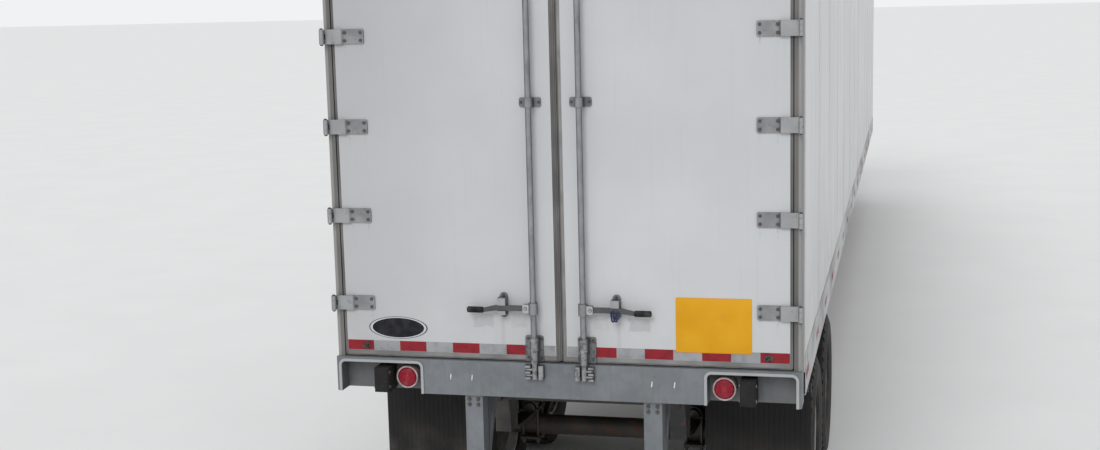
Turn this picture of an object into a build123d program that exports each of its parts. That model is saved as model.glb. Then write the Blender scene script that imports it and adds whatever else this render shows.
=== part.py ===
from build123d import *
import os

# A dry van semi trailer that stands parked on its landing legs and its tandem axles.
# Millimetres. +X is the kerb side, +Y the front and +Z up. The origin is on the ground, under the
# middle of the body, so the rear doors face -Y. In a profile, x is across and y is up unless it says
# otherwise. A size with side in it takes -1 for the road side and 1 for the kerb side.

os.makedirs("parts", exist_ok=True)

sides = (-1, 1)

# Body
body_length = 16154
body_width = 2600
body_height = 4110
floor_top = 1270
floor_thickness = 35
wall_thickness = 40
seam_spacing = 1219
seam_width = 60
seam_height = 2
scuff_height = 300
scuff_thickness = 4
front_return = 200
front_corner_radius = 120
roof_thickness = 5
roof_crown = 12
bow_spacing = 610
bow_width = 42
bow_depth = 25

# Side rails, extrusions that lap over the walls' outer faces
rail_web = 4
bottom_rail_depth = 160
bottom_rail_lap = 60
bottom_rail_flange = 36
top_rail_depth = 110
top_rail_width = 64
top_rail_seat = 38

# Crossmembers under the floor
crossmember_depth = 102
crossmember_flange = 57
crossmember_web = 5
flange_thickness = 6
crossmember_spacing = 305

# Rear frame and doors
door_setback = 25
frame_depth = 150
post_width = 42
post_inset = 10
post_corner_radius = 12
header_height = 98
header_lip = 10
gutter_drop = 5
sill_height = 195
door_thickness = 42
door_gap = 10
door_face_height = 3
door_end_edge = 27
door_free_edge = 17
seal_inset = 3
side_seal_width = 15
post_gap = 5
centre_gap = 10
centre_gap_offset = 3
left_seal_width = 25
right_seal_width = 8

# Lamp recesses in the sill, with the lamps and bumpers that stand in them
recess_width = 467
recess_end_wall = 28
recess_roof = 25
recess_depth = 100
recess_corner_radius = 24
recess_lip_width = 15
recess_lip_height = 8
tail_lamp_inset = 89
tail_lamp_drop = 110
tail_lamp_radius = 54
tail_lamp_rim = 9
tail_lamp_dome = 8
tail_lamp_taper = 40
bumper_inset = 218
bumper_width = 83
bumper_height = 137
bumper_drop = 117
bumper_reach = 50
bumper_edge = 8

# Hinges, with the strap's lengths measured from the pin
hinge_above_floor = 308
hinge_spacing = 490
hinge_count = 5
hinge_height = 80
hinge_pin_inset = 4
hinge_pin_standoff = 40
hinge_pin_radius = 6
hinge_knuckle_radius = 13
hinge_bore_clearance = 0.3
strap_length = 229
strap_raised_length = 104
strap_knuckle_reach = 15
strap_tip_radius = 10
strap_thickness = 8
strap_raise = 12
butt_height = 30
butt_gap = 1
butt_leg_width = 14

# Lock rods, their cams and keepers
rod_x = 137
rod_standoff = 50
rod_radius = 16
rod_clearance = 0.3
cam_finger_reach = 49
cam_finger_depth = 22
cam_finger_height = 10
keeper_height = 76
keeper_finger_height = 12
keeper_inner_x = 87
keeper_outer_x = 191
keeper_base = 4
keeper_reach = 40
keeper_gap = 5
keeper_tip_radius = 7
lock_sleeve_radius = 21
guide_plate_thickness = 8
guide_plate_width = 101
guide_plate_offset = 9
guide_plate_height = 145
guide_plate_radius = 12
guide_saddle_height = 76
guide_saddle_radius = 23
guide_collar_radius = 26
guide_collar_height = 8
guide_collar_inset = 7
guide_collar_pitch = 54
lock_sleeve_gap = 1
mid_guide_above_handle = 1107
mid_guide_width = 120
mid_guide_height = 50

# Door handles and their catches
handle_hub_radius = 25
handle_hub_height = 64
handle_bar_height = 30
handle_bar_thickness = 12
handle_bar_drop = 13
handle_bend_x = 345
handle_neck_height = 24
clevis_outer_x = 193
clevis_pin_x = 178
clevis_height = 46
clevis_wall = 7
clevis_gap = 1
clevis_pin_radius = 8
handle_grip_x = 415
handle_tip_x = 507
handle_grip_radius = 17
handle_grip_edge = 5
catch_x = 312
catch_width = 45
catch_below = 60
catch_above = 78
catch_thickness = 6
catch_reach = 64
catch_gap = 0.5

# Running gear
wheel_radius = 508
tyre_width = 282
tread_width = 236
bead_width = 208
bead_radius = 286
widest_radius = 400
twin_inset = 316
twin_spacing = 343
rear_axle_from_rear = 1400
axle_spacing = 1245
axle_radius = 63.5
spindle_radius = 45
spindle_clearance = 0.3
spindle_reach = 166
rim_thickness = 12
rim_flange_radius = 300
disc_thickness = 11
disc_flat_radius = 185
disc_rise = 76
hub_radius = 112
hub_taper = 20
hub_reach = 188
spindle_end_gap = 11
drum_radius = 206
drum_width = 208
drum_inset = 24
shield_gap = 11
shield_thickness = 6
shield_radius = 190
hand_hole_count = 5
hand_hole_radius = 24
hand_hole_circle = 234
hub_cap_radius = 70
hub_cap_length = 24

# Suspension, slider and slide rails
spring_inset = 454
spring_width = 76
leaf_thickness = 14
leaf_count = 3
leaf_shortening = 0.2
spring_overhang = 22
spring_camber = 46
hanger_width = 96
hanger_length = 150
hanger_top_length = 260
seat_length = 120
seat_width = 92
clamp_length = 190
clamp_width = 120
clamp_thickness = 16
equaliser_height = 60
equaliser_length = 230
radius_rod_width = 30
radius_rod_depth = 40
radius_rod_eye_z = 760
radius_rod_eye_radius = 30
slider_rail_width = 70
slider_rail_depth = 150
slide_rail_depth = 90
slide_rail_length = 5200
slide_rail_start = 330
slider_overhang = 240
slider_tube_width = 100
flap_width = 610
flap_height = 760
flap_thickness = 9
flap_top_z = 1000
flap_behind_tyre = 110
flap_bar_height = 50
flap_bar_depth = 30
chamber_radius = 82
chamber_length = 150
chamber_offset = 45
chamber_gap = 6
chamber_ahead = 60
chamber_arm_offset = 105
chamber_arm_width = 36
tank_radius = 120
tank_length = 760
tank_end_edge = 36
tank_band_height = 3
tank_band_width = 32
tank_band_x = 210

# Underride guard
guard_inset = 120
guard_tube = 100
guard_bottom_z = 460
guard_upright_x = 500
guard_setback = 20
guard_brace_z = 620

# Coupler and landing gear
kingpin_from_front = 914
coupler_z = 1180
coupler_thickness = 8
coupler_length = 1480
kingpin_neck_radius = 25.4
kingpin_flange_radius = 35.7
kingpin_drop = 84
kingpin_neck_length = 52
kingpin_seat_gap = 0.3
landing_from_kingpin = 2700
leg_x = 880
leg_outer_width = 120
leg_inner_width = 95
leg_outer_bottom = 480
foot_length = 260
foot_width = 240
foot_thickness = 14
foot_turn_up = 26
foot_turn_length = 20
foot_hub_height = 70
foot_hub_width = 115
leg_head_width = 200
leg_head_height = 60
gear_box_width = 60
gear_box_height = 170
cross_shaft_radius = 20
cross_shaft_z = 980
crank_stub = 60
crank_bar = 20
crank_reach = 300
brace_width = 70
brace_thickness = 8
brace_foot_z = 620
brace_head_x = 250
brace_head_run = 620

# Front and lamps
nose_box_width = 300
nose_box_height = 220
nose_box_depth = 70
nose_box_z = 1500
socket_radius = 36
socket_bore_radius = 29
socket_length = 30
socket_bore_depth = 28
air_coupling_x = 95
air_coupling_radius = 34
air_coupling_length = 26
air_coupling_stem = 16
marker_width = 100
marker_height = 32
marker_reach = 18
marker_spacing = 300

# Places worked out from the sizes above
rear_y = -body_length / 2
front_y = body_length / 2
half_width = body_width / 2
wall_outer = half_width - rail_web
wall_inner = wall_outer - wall_thickness
floor_bottom = floor_top - floor_thickness
crossmember_bottom = floor_bottom - crossmember_depth
roof_edge_z = body_height - roof_crown
rail_top = roof_edge_z - roof_thickness
wall_top = rail_top - top_rail_seat
door_y = rear_y + door_setback
door_inner_y = door_y + door_thickness
post_outer = half_width - post_inset
post_inner = post_outer - post_width
frame_front_y = rear_y + frame_depth
sill_bottom = floor_top - sill_height
header_bottom = body_height - gutter_drop - header_height
door_bottom = floor_top + door_gap
door_top = header_bottom - door_gap
door_outer_x = post_inner - post_gap - side_seal_width
front_wall_back_y = front_y - front_return
pin_y = door_y - hinge_pin_standoff
rod_y = door_y - rod_standoff
recess_outer_x = post_outer - recess_end_wall
recess_inner_x = recess_outer_x - recess_width
recess_back_y = rear_y + recess_depth
wheel_x = half_width - twin_inset
spring_x = wheel_x - spring_inset
drum_outer_x = wheel_x - drum_inset
drum_inner_x = drum_outer_x - drum_width
shield_x = drum_inner_x - shield_gap - shield_thickness / 2
spindle_end_x = wheel_x + spindle_reach
axle_ys = (rear_y + rear_axle_from_rear, rear_y + rear_axle_from_rear + axle_spacing)
kingpin_y = front_y - kingpin_from_front
landing_y = kingpin_y - landing_from_kingpin
handle_z = floor_top + hinge_above_floor
hinge_zs = [handle_z + hinge_spacing * n for n in range(hinge_count)]
hinge_pin_x = post_outer - hinge_pin_inset
slide_rail_z = crossmember_bottom - slide_rail_depth
slide_start_y = rear_y + slide_rail_start
keeper_zs = (floor_top - keeper_gap - keeper_height, header_bottom + keeper_gap)


def outline(*points):
    """A closed outline of straight runs, filled, in the sketch that is being drawn."""
    Polygon(*points, align=None)


def round_bar(plane, centre, radius, length, mode=Mode.ADD):
    """A round bar that stands on a plane, with its axis through a point of that plane."""
    with BuildSketch(plane) as end:
        with Locations(centre):
            Circle(radius)
    extrude(end.sketch, amount=length, mode=mode)


def slab(x, y, z, mode=Mode.ADD):
    """A rectangular block between two values on each axis, in the part that is being built."""
    with Locations(((x[0] + x[1]) / 2, (y[0] + y[1]) / 2, (z[0] + z[1]) / 2)):
        Box(abs(x[1] - x[0]), abs(y[1] - y[0]), abs(z[1] - z[0]), mode=mode)


# Floor: hardwood planks laid on the crossmembers, between the scuff bands.
floor_half = wall_inner - scuff_thickness
with BuildPart() as floor:
    slab((-floor_half, floor_half), (frame_front_y, front_y - wall_thickness), (floor_bottom, floor_top))
    fillet(
        floor.edges().filter_by(Axis.Z).group_by(Axis.Y)[-1],
        front_corner_radius - wall_thickness - scuff_thickness,
    )

# Crossmembers: I-beams across the body, up to the coupler.
coupler_front_y = front_y - front_corner_radius
coupler_back_y = coupler_front_y - coupler_length
member_start_y = frame_front_y + crossmember_spacing / 2
member_count = int((coupler_back_y - member_start_y) // crossmember_spacing) + 1
with BuildPart() as crossmembers:
    with BuildSketch(Plane.YZ.offset(-wall_outer)):
        for n in range(member_count):
            with Locations((member_start_y + n * crossmember_spacing, floor_bottom - crossmember_depth / 2)):
                Rectangle(crossmember_web, crossmember_depth)
                with Locations(*[(0, end * (crossmember_depth - flange_thickness) / 2) for end in (-1, 1)]):
                    Rectangle(crossmember_flange, flange_thickness)
    extrude(amount=2 * wall_outer)

# Side walls: panels that stand on the crossmembers' ends, lapped at each seam, with a scuff band inside.
seam_count = int((front_wall_back_y - frame_front_y) // seam_spacing)
with BuildPart() as side_walls:
    for side in sides:
        slab(
            (side * wall_inner, side * wall_outer),
            (frame_front_y, front_wall_back_y),
            (floor_bottom, wall_top),
        )
        slab(
            (side * floor_half, side * wall_inner),
            (frame_front_y, front_wall_back_y),
            (floor_bottom, floor_top + scuff_height),
        )
        for n in range(seam_count):
            seam_y = frame_front_y + (n + 1) * seam_spacing
            slab(
                (side * wall_outer, side * (wall_outer + seam_height)),
                (seam_y - seam_width / 2, seam_y + seam_width / 2),
                (floor_top + bottom_rail_lap, rail_top - top_rail_depth),
            )

# Side rails: extrusions that lap the walls, the bottom pair round the crossmembers' ends.
with BuildPart() as side_rails:
    with BuildSketch(Plane.XZ.offset(-frame_front_y)):
        lap_top = floor_top + bottom_rail_lap
        rail_bottom = floor_top - bottom_rail_depth
        for side in sides:
            outline(
                (side * wall_outer, lap_top),
                (side * half_width, lap_top),
                (side * half_width, rail_bottom),
                (side * (wall_outer - bottom_rail_flange), rail_bottom),
                (side * (wall_outer - bottom_rail_flange), rail_bottom + flange_thickness),
                (side * wall_outer, rail_bottom + flange_thickness),
            )
    extrude(amount=-(front_wall_back_y - frame_front_y))
    with BuildSketch(Plane.XZ.offset(-frame_front_y)):
        for side in sides:
            outline(
                (side * wall_outer, rail_top - top_rail_depth),
                (side * half_width, rail_top - top_rail_depth),
                (side * half_width, rail_top - 2 * rail_web),
                (side * (wall_outer - rail_web), rail_top),
                (side * (wall_outer - top_rail_width), rail_top),
                (side * (wall_outer - top_rail_width), wall_top),
                (side * wall_outer, wall_top),
            )
    extrude(amount=-(front_wall_back_y - frame_front_y))

# Roof: one crowned sheet over the rails, with a bow under it at each spacing.
roof_half = wall_outer - rail_web
bow_half = wall_outer - top_rail_width
bow_first_y = frame_front_y + bow_spacing / 2
bow_count = int((front_wall_back_y - bow_first_y) // bow_spacing) + 1
with BuildPart() as roof:
    with BuildSketch(Plane.XZ.offset(-frame_front_y)):
        with BuildLine():
            ThreePointArc((-roof_half, rail_top), (0, rail_top + roof_crown), (roof_half, rail_top))
            Line((roof_half, rail_top), (roof_half, roof_edge_z))
            ThreePointArc((roof_half, roof_edge_z), (0, body_height), (-roof_half, roof_edge_z))
            Line((-roof_half, roof_edge_z), (-roof_half, rail_top))
        make_face()
    extrude(amount=-(front_y - frame_front_y))
    fillet(roof.edges().filter_by(Axis.Z).group_by(Axis.Y)[-1], front_corner_radius)
    with BuildSketch(Plane.XZ.offset(-bow_first_y + bow_width / 2)):
        with BuildLine():
            ThreePointArc(
                (-bow_half, rail_top + roof_crown / 8),
                (0, rail_top + roof_crown + roof_thickness / 2),
                (bow_half, rail_top + roof_crown / 8),
            )
            Polyline(
                (bow_half, rail_top + roof_crown / 8),
                (bow_half, rail_top - bow_depth),
                (-bow_half, rail_top - bow_depth),
                (-bow_half, rail_top + roof_crown / 8),
            )
        make_face()
    bow = extrude(amount=-bow_width, mode=Mode.PRIVATE)
    with Locations(*[(0, n * bow_spacing, 0) for n in range(bow_count)]):
        add(bow)

# Front wall: a flat front with round corners that wraps back to the side walls.
with BuildPart() as front_wall:
    with BuildSketch(Plane.XY.offset(floor_top - bottom_rail_depth)):
        with Locations((0, front_y - front_return)):
            RectangleRounded(2 * wall_outer, 2 * front_return, front_corner_radius)
            RectangleRounded(
                2 * wall_inner,
                2 * (front_return - wall_thickness),
                front_corner_radius - wall_thickness,
                mode=Mode.SUBTRACT,
            )
        with Locations((0, front_wall_back_y - front_return)):
            Rectangle(body_width, 2 * front_return, mode=Mode.SUBTRACT)
    extrude(amount=rail_top - floor_top + bottom_rail_depth)

# Rear posts: formed steel uprights, round at the outer corner, that stand on the sill and carry the hinges.
with BuildPart() as rear_posts:
    for side in sides:
        slab((side * post_inner, side * post_outer), (door_y, frame_front_y), (floor_top, header_bottom))
    fillet(
        rear_posts.edges().filter_by(Axis.Z).group_by(Axis.Y)[0].sort_by(Axis.X)[::3],
        post_corner_radius,
    )

# Rear header: a deep box over the doors, flush with the sill's face, with a rain lip along its top.
with BuildPart() as rear_header:
    with BuildSketch(Plane.YZ.offset(-post_outer)):
        header_top = body_height - gutter_drop
        outline(
            (rear_y, header_bottom),
            (frame_front_y, header_bottom),
            (frame_front_y, header_top),
            (rear_y - header_lip, header_top),
            (rear_y - header_lip, header_top - header_lip / 2),
            (rear_y, header_top - header_lip),
        )
    extrude(amount=2 * post_outer)

# Rear sill: a deep steel beam, cut away at each end for the lamps, with a rolled lip round each recess.
recess_top = floor_top - recess_roof
recess_height = 2 * (recess_top - sill_bottom)
with BuildPart() as rear_sill:
    slab((-post_outer, post_outer), (rear_y, frame_front_y), (sill_bottom, floor_top))
    for side in sides:
        recess_middle = (side * (recess_inner_x + recess_outer_x) / 2, sill_bottom)
        with BuildSketch(Plane.XZ.offset(-rear_y)):
            with Locations(recess_middle):
                RectangleRounded(recess_width, recess_height, recess_corner_radius)
        extrude(amount=-recess_depth, mode=Mode.SUBTRACT)
        with BuildSketch(Plane.XZ.offset(-rear_y)):
            with Locations(recess_middle):
                RectangleRounded(
                    recess_width + 2 * recess_lip_width,
                    recess_height + 2 * recess_lip_width,
                    recess_corner_radius + recess_lip_width,
                )
                RectangleRounded(recess_width, recess_height, recess_corner_radius, mode=Mode.SUBTRACT)
            with Locations((recess_middle[0], sill_bottom - recess_height / 2)):
                Rectangle(2 * recess_width, recess_height, mode=Mode.SUBTRACT)
        extrude(amount=recess_lip_height)

# Hinge butts: each a pin and a knuckle on a leg that is welded to the post.
with BuildPart() as hinge_butts:
    for side in sides:
        pin_place = (side * hinge_pin_x, pin_y)
        for z in hinge_zs:
            with BuildSketch(Plane.XY.offset(z - butt_height / 2)):
                with Locations(pin_place):
                    Circle(hinge_knuckle_radius)
                with Locations((side * (post_outer - butt_leg_width / 2), (pin_y + door_y) / 2)):
                    Rectangle(butt_leg_width, hinge_pin_standoff)
            extrude(amount=butt_height)
            round_bar(
                Plane.XY.offset(z - hinge_height / 2), pin_place, hinge_pin_radius, hinge_height
            )

# Lock keepers: a comb of fingers outboard of each rod and a plain block inboard of it, on one base.
finger_pitch = (keeper_height - keeper_finger_height) / 2
keeper_finger_x = rod_x + rod_radius + keeper_gap
keeper_block_x = rod_x - rod_radius - keeper_gap
with BuildPart() as lock_keepers:
    for side in sides:
        for bottom in keeper_zs:
            slab(
                (side * keeper_inner_x, side * keeper_outer_x),
                (rear_y - keeper_base, rear_y),
                (bottom, bottom + keeper_height),
            )
            lugs = [(keeper_inner_x, keeper_block_x, bottom, keeper_height)]
            for n in range(3):
                finger_z = bottom + n * finger_pitch
                lugs.append((keeper_finger_x, keeper_outer_x, finger_z, keeper_finger_height))
            for inner_x, outer_x, lug_z, lug_height in lugs:
                with BuildSketch(Plane.XY.offset(lug_z)):
                    with Locations((side * (inner_x + outer_x) / 2, rear_y)):
                        RectangleRounded(outer_x - inner_x, 2 * keeper_reach, keeper_tip_radius)
                    with Locations((side * (inner_x + outer_x) / 2, rear_y + keeper_reach)):
                        Rectangle(outer_x - inner_x, 2 * keeper_reach, mode=Mode.SUBTRACT)
                extrude(amount=lug_height)

# Tail lamps: a round red lens in a rubber rim, on the back of each recess.
tail_lamp_x = recess_inner_x + tail_lamp_inset
tail_lamp_z = floor_top - tail_lamp_drop
with BuildPart() as tail_lamps:
    with BuildSketch(Plane.XZ.offset(-recess_back_y)):
        with Locations(*[(side * tail_lamp_x, tail_lamp_z) for side in sides]):
            Circle(tail_lamp_radius + tail_lamp_rim)
    extrude(amount=recess_depth - door_setback)
    with BuildSketch(Plane.XZ.offset(-door_y)):
        with Locations(*[(side * tail_lamp_x, tail_lamp_z) for side in sides]):
            Circle(tail_lamp_radius)
    extrude(amount=tail_lamp_dome, taper=tail_lamp_taper)

# Marker lamps: three on the header's middle, one at each rear corner and two at the front's top.
with BuildPart() as marker_lamps:
    marker_z = header_bottom + header_height / 2
    corner_x = post_outer - marker_width
    with BuildSketch(Plane.XZ.offset(-rear_y)):
        with Locations(*[(x, marker_z) for x in (-corner_x, -marker_spacing, 0, marker_spacing, corner_x)]):
            SlotOverall(marker_width, marker_height)
    extrude(amount=marker_reach)
    with BuildSketch(Plane.XZ.offset(-front_y)):
        with Locations(*[(side * (corner_x - front_corner_radius), marker_z) for side in sides]):
            SlotOverall(marker_width, marker_height)
    extrude(amount=-marker_reach)

# Dock bumpers: moulded rubber blocks that stand out of the lamp recesses.
bumper_x = recess_inner_x + bumper_inset
bumper_z = floor_top - bumper_drop
with BuildPart() as dock_bumpers:
    for side in sides:
        slab(
            (side * (bumper_x - bumper_width / 2), side * (bumper_x + bumper_width / 2)),
            (rear_y - bumper_reach, recess_back_y),
            (bumper_z - bumper_height / 2, bumper_z + bumper_height / 2),
        )
    chamfer(dock_bumpers.faces().group_by(Axis.Y)[0].edges(), bumper_edge)

# Underride guard: a level tube on two uprights, each braced forward to the crossmembers.
guard_y = (rear_y + guard_setback, rear_y + guard_setback + guard_tube)
with BuildPart() as underride_guard:
    guard_half = half_width - guard_inset
    slab((-guard_half, guard_half), guard_y, (guard_bottom_z, guard_bottom_z + guard_tube))
    for side in sides:
        upright = (side * (guard_upright_x - guard_tube / 2), side * (guard_upright_x + guard_tube / 2))
        slab(upright, guard_y, (guard_bottom_z, sill_bottom))
        with BuildSketch(Plane.YZ.offset(min(upright))):
            outline(
                (guard_y[1], guard_brace_z),
                (guard_y[1], guard_brace_z + slide_rail_depth),
                (slide_start_y, crossmember_bottom),
                (slide_start_y, slide_rail_z),
            )
        extrude(amount=guard_tube)

# Slide rails: two beams under the crossmembers, on which the bogie can be moved.
with BuildPart() as slide_rails:
    for side in sides:
        slab(
            (side * (spring_x - slider_rail_width / 2), side * (spring_x + slider_rail_width / 2)),
            (slide_start_y, slide_start_y + slide_rail_length),
            (slide_rail_z, crossmember_bottom),
        )

# Slider frame: the bogie's own rails, cross tubes, spring hangers and mud flap bars.
slider_y = (axle_ys[0] - axle_spacing / 2 - slider_overhang, axle_ys[1] + axle_spacing / 2 + slider_overhang)
slider_bottom = slide_rail_z - slider_rail_depth
spring_z = wheel_radius + axle_radius
hanger_ys = (
    axle_ys[0] - axle_spacing / 2,
    (axle_ys[0] + axle_ys[1]) / 2,
    axle_ys[1] + axle_spacing / 2,
)
spring_top = spring_z + leaf_count * leaf_thickness + spring_camber
flap_y = axle_ys[0] - wheel_radius - flap_behind_tyre
with BuildPart() as slider_frame:
    for side in sides:
        slab(
            (side * (spring_x - slider_rail_width / 2), side * (spring_x + slider_rail_width / 2)),
            slider_y,
            (slider_bottom, slide_rail_z),
        )
        for y, hanger_bottom in zip(hanger_ys, (spring_top, spring_top + equaliser_height, spring_top)):
            with BuildSketch(Plane.YZ.offset(side * spring_x - hanger_width / 2)):
                outline(
                    (y - hanger_length / 2, hanger_bottom),
                    (y + hanger_length / 2, hanger_bottom),
                    (y + hanger_length / 2, hanger_bottom + hanger_length / 2),
                    (y + hanger_top_length / 2, slider_bottom),
                    (y - hanger_top_length / 2, slider_bottom),
                    (y - hanger_length / 2, hanger_bottom + hanger_length / 2),
                )
            extrude(amount=hanger_width)
        slab(
            (side * (spring_x + slider_rail_width / 2), side * (wheel_x + flap_width / 2)),
            (flap_y, flap_y + flap_bar_depth),
            (flap_top_z - flap_bar_height, flap_top_z),
        )
    for y in (slider_y[0] + slider_tube_width, *hanger_ys[1:]):
        slab(
            (-(spring_x - slider_rail_width / 2), spring_x - slider_rail_width / 2),
            (y - slider_tube_width / 2, y + slider_tube_width / 2),
            (slider_bottom, slide_rail_z),
        )

# Mud flaps: rubber sheets bolted behind the bars.
with BuildPart() as mud_flaps:
    for side in sides:
        slab(
            (side * (wheel_x - flap_width / 2), side * (wheel_x + flap_width / 2)),
            (flap_y - flap_thickness, flap_y),
            (flap_top_z - flap_height, flap_top_z),
        )

# Leaf springs: a pack of leaves over each axle end, arched down between its hangers and clamped to the
# axle's seat by two plates. An equaliser under each middle hanger joins the two packs.
with BuildPart() as leaf_springs:
    for side in sides:
        for y in axle_ys:
            with BuildSketch(Plane.YZ.offset(side * spring_x - spring_width / 2)):
                for n in range(leaf_count):
                    share = 1 - leaf_shortening * n
                    half = (axle_spacing / 2 - spring_overhang) * share
                    low = spring_z + (leaf_count - 1 - n) * leaf_thickness
                    high = low + spring_camber * share**2
                    with BuildLine():
                        ThreePointArc((y - half, high), (y, low), (y + half, high))
                        Line((y + half, high), (y + half, high + leaf_thickness))
                        ThreePointArc(
                            (y + half, high + leaf_thickness),
                            (y, low + leaf_thickness),
                            (y - half, high + leaf_thickness),
                        )
                        Line((y - half, high + leaf_thickness), (y - half, high))
                    make_face()
            extrude(amount=spring_width)
            clamp_low = wheel_radius - axle_radius - clamp_thickness
            clamp_high = spring_z + leaf_count * leaf_thickness
            for clamp_z in (clamp_low, clamp_high):
                slab(
                    (side * spring_x - clamp_width / 2, side * spring_x + clamp_width / 2),
                    (y - clamp_length / 2, y + clamp_length / 2),
                    (clamp_z, clamp_z + clamp_thickness),
                )
        with BuildSketch(Plane.YZ.offset(side * spring_x - spring_width / 2)):
            end_height = equaliser_height / 3
            outline(
                (hanger_ys[1] - equaliser_length / 2, spring_top),
                (hanger_ys[1] + equaliser_length / 2, spring_top),
                (hanger_ys[1] + equaliser_length / 2, spring_top + end_height),
                (hanger_ys[1] + hanger_length / 4, spring_top + equaliser_height),
                (hanger_ys[1] - hanger_length / 4, spring_top + equaliser_height),
                (hanger_ys[1] - equaliser_length / 2, spring_top + end_height),
            )
        extrude(amount=spring_width)

# Axles: round tubes that narrow to spindles, with spring seats, the brakes' dust shields and a radius
# rod on each side that runs up to the hanger ahead.
with BuildPart() as axles:
    for y in axle_ys:
        for radius, reach in ((axle_radius, shield_x), (spindle_radius, spindle_end_x)):
            round_bar(Plane.YZ.offset(-reach), (y, wheel_radius), radius, 2 * reach)
        for side in sides:
            round_bar(
                Plane.YZ.offset(side * shield_x - shield_thickness / 2),
                (y, wheel_radius),
                shield_radius,
                shield_thickness,
            )
            slab(
                (side * spring_x - seat_width / 2, side * spring_x + seat_width / 2),
                (y - seat_length / 2, y + seat_length / 2),
                (wheel_radius, spring_z),
            )
            eye_y = y + axle_spacing / 2
            rod_inner_x = side * (spring_x - (hanger_width + radius_rod_width) / 2) - radius_rod_width / 2
            with BuildSketch(Plane.YZ.offset(rod_inner_x)):
                outline(
                    (y, wheel_radius - radius_rod_depth / 2),
                    (eye_y, radius_rod_eye_z - radius_rod_depth / 2),
                    (eye_y, radius_rod_eye_z + radius_rod_depth / 2),
                    (y, wheel_radius + radius_rod_depth / 2),
                )
                with Locations((eye_y, radius_rod_eye_z)):
                    Circle(radius_rod_eye_radius)
            extrude(amount=radius_rod_width)

# Brake chambers: canisters on arms off the axle.
chamber_z = spring_z - chamber_radius - chamber_gap
with BuildPart() as brake_chambers:
    for y in axle_ys:
        chamber_y = y + axle_radius + chamber_ahead
        for side in sides:
            round_bar(
                Plane.XZ.offset(-chamber_y - chamber_length),
                (side * (spring_x + chamber_offset), chamber_z),
                chamber_radius,
                chamber_length,
            )
            arm_x = side * (spring_x + chamber_arm_offset)
            slab(
                (arm_x - chamber_arm_width / 2, arm_x + chamber_arm_width / 2),
                (y, chamber_y),
                (chamber_z - chamber_arm_width / 2, chamber_z + chamber_arm_width / 2),
            )
        round_bar(Plane.YZ.offset(-wheel_x), (y, wheel_radius), axle_radius, 2 * wheel_x, Mode.SUBTRACT)

# Air tank: a banded steel cylinder on the rear face of the bogie's front cross tube.
tank_y = hanger_ys[2] - slider_tube_width / 2 - tank_radius - tank_band_height
tank_z = (slider_bottom + slide_rail_z) / 2
with BuildPart() as air_tank:
    round_bar(Plane.YZ.offset(-tank_length / 2), (tank_y, tank_z), tank_radius, tank_length)
    chamfer(air_tank.edges().filter_by(GeomType.CIRCLE), tank_end_edge)
    for side in sides:
        round_bar(
            Plane.YZ.offset(side * tank_band_x - tank_band_width / 2),
            (tank_y, tank_z),
            tank_radius + tank_band_height,
            tank_band_width,
        )

# Coupler plate: a steel plate under the front, stiffened by channels up to the floor.
coupler_y = (coupler_back_y, coupler_front_y)
coupler_top = coupler_z + coupler_thickness
with BuildPart() as coupler_plate:
    slab((-wall_inner, wall_inner), coupler_y, (coupler_z, coupler_top))
    rib_count = int(coupler_length // crossmember_spacing) + 1
    rib_pitch = (coupler_length - crossmember_flange) / (rib_count - 1)
    for n in range(rib_count):
        rib_y = coupler_y[0] + n * rib_pitch
        slab(
            (-wall_inner, wall_inner),
            (rib_y, rib_y + crossmember_flange),
            (coupler_z, floor_bottom),
        )
    round_bar(
        Plane.XY.offset(coupler_z),
        (0, kingpin_y),
        kingpin_flange_radius + kingpin_seat_gap,
        coupler_thickness,
        Mode.SUBTRACT,
    )

# Kingpin: a turned pin with a waisted neck, seated through the plate.
with BuildPart() as kingpin:
    with BuildSketch(Plane.XZ.offset(-kingpin_y)):
        neck_bottom = coupler_z - kingpin_neck_length
        outline(
            (0, coupler_top),
            (kingpin_flange_radius, coupler_top),
            (kingpin_flange_radius, coupler_z - flange_thickness),
            (kingpin_neck_radius, coupler_z - flange_thickness),
            (kingpin_neck_radius, neck_bottom),
            (kingpin_flange_radius, neck_bottom),
            (kingpin_flange_radius, coupler_z - kingpin_drop),
            (0, coupler_z - kingpin_drop),
        )
    revolve(axis=Axis((0, kingpin_y, 0), (0, 0, 1)))

# Landing legs: telescoping square tubes on turned-up feet, each hung from a wide head plate, with the
# gear box on the road side's leg.
with BuildPart() as landing_legs:
    for side in sides:
        for width, bottom, top in (
            (leg_outer_width, leg_outer_bottom, crossmember_bottom),
            (leg_inner_width, foot_hub_height, leg_outer_bottom),
            (foot_hub_width, foot_thickness, foot_hub_height),
            (leg_head_width, crossmember_bottom - leg_head_height, crossmember_bottom),
        ):
            slab(
                (side * leg_x - width / 2, side * leg_x + width / 2),
                (landing_y - width / 2, landing_y + width / 2),
                (bottom, top),
            )
        with BuildSketch(Plane.YZ.offset(side * leg_x - foot_width / 2)):
            half = foot_length / 2
            outline(
                (landing_y - half + foot_turn_length, 0),
                (landing_y + half - foot_turn_length, 0),
                (landing_y + half, foot_turn_up - foot_thickness),
                (landing_y + half, foot_turn_up),
                (landing_y + half - foot_turn_length, foot_thickness),
                (landing_y - half + foot_turn_length, foot_thickness),
                (landing_y - half, foot_turn_up),
                (landing_y - half, foot_turn_up - foot_thickness),
            )
        extrude(amount=foot_width)
    gear_box_x = leg_x + leg_outer_width / 2
    slab(
        (-gear_box_x, -gear_box_x - gear_box_width),
        (landing_y - leg_outer_width / 2, landing_y + leg_outer_width / 2),
        (cross_shaft_z - gear_box_height / 2, cross_shaft_z + gear_box_height / 2),
    )

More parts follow.
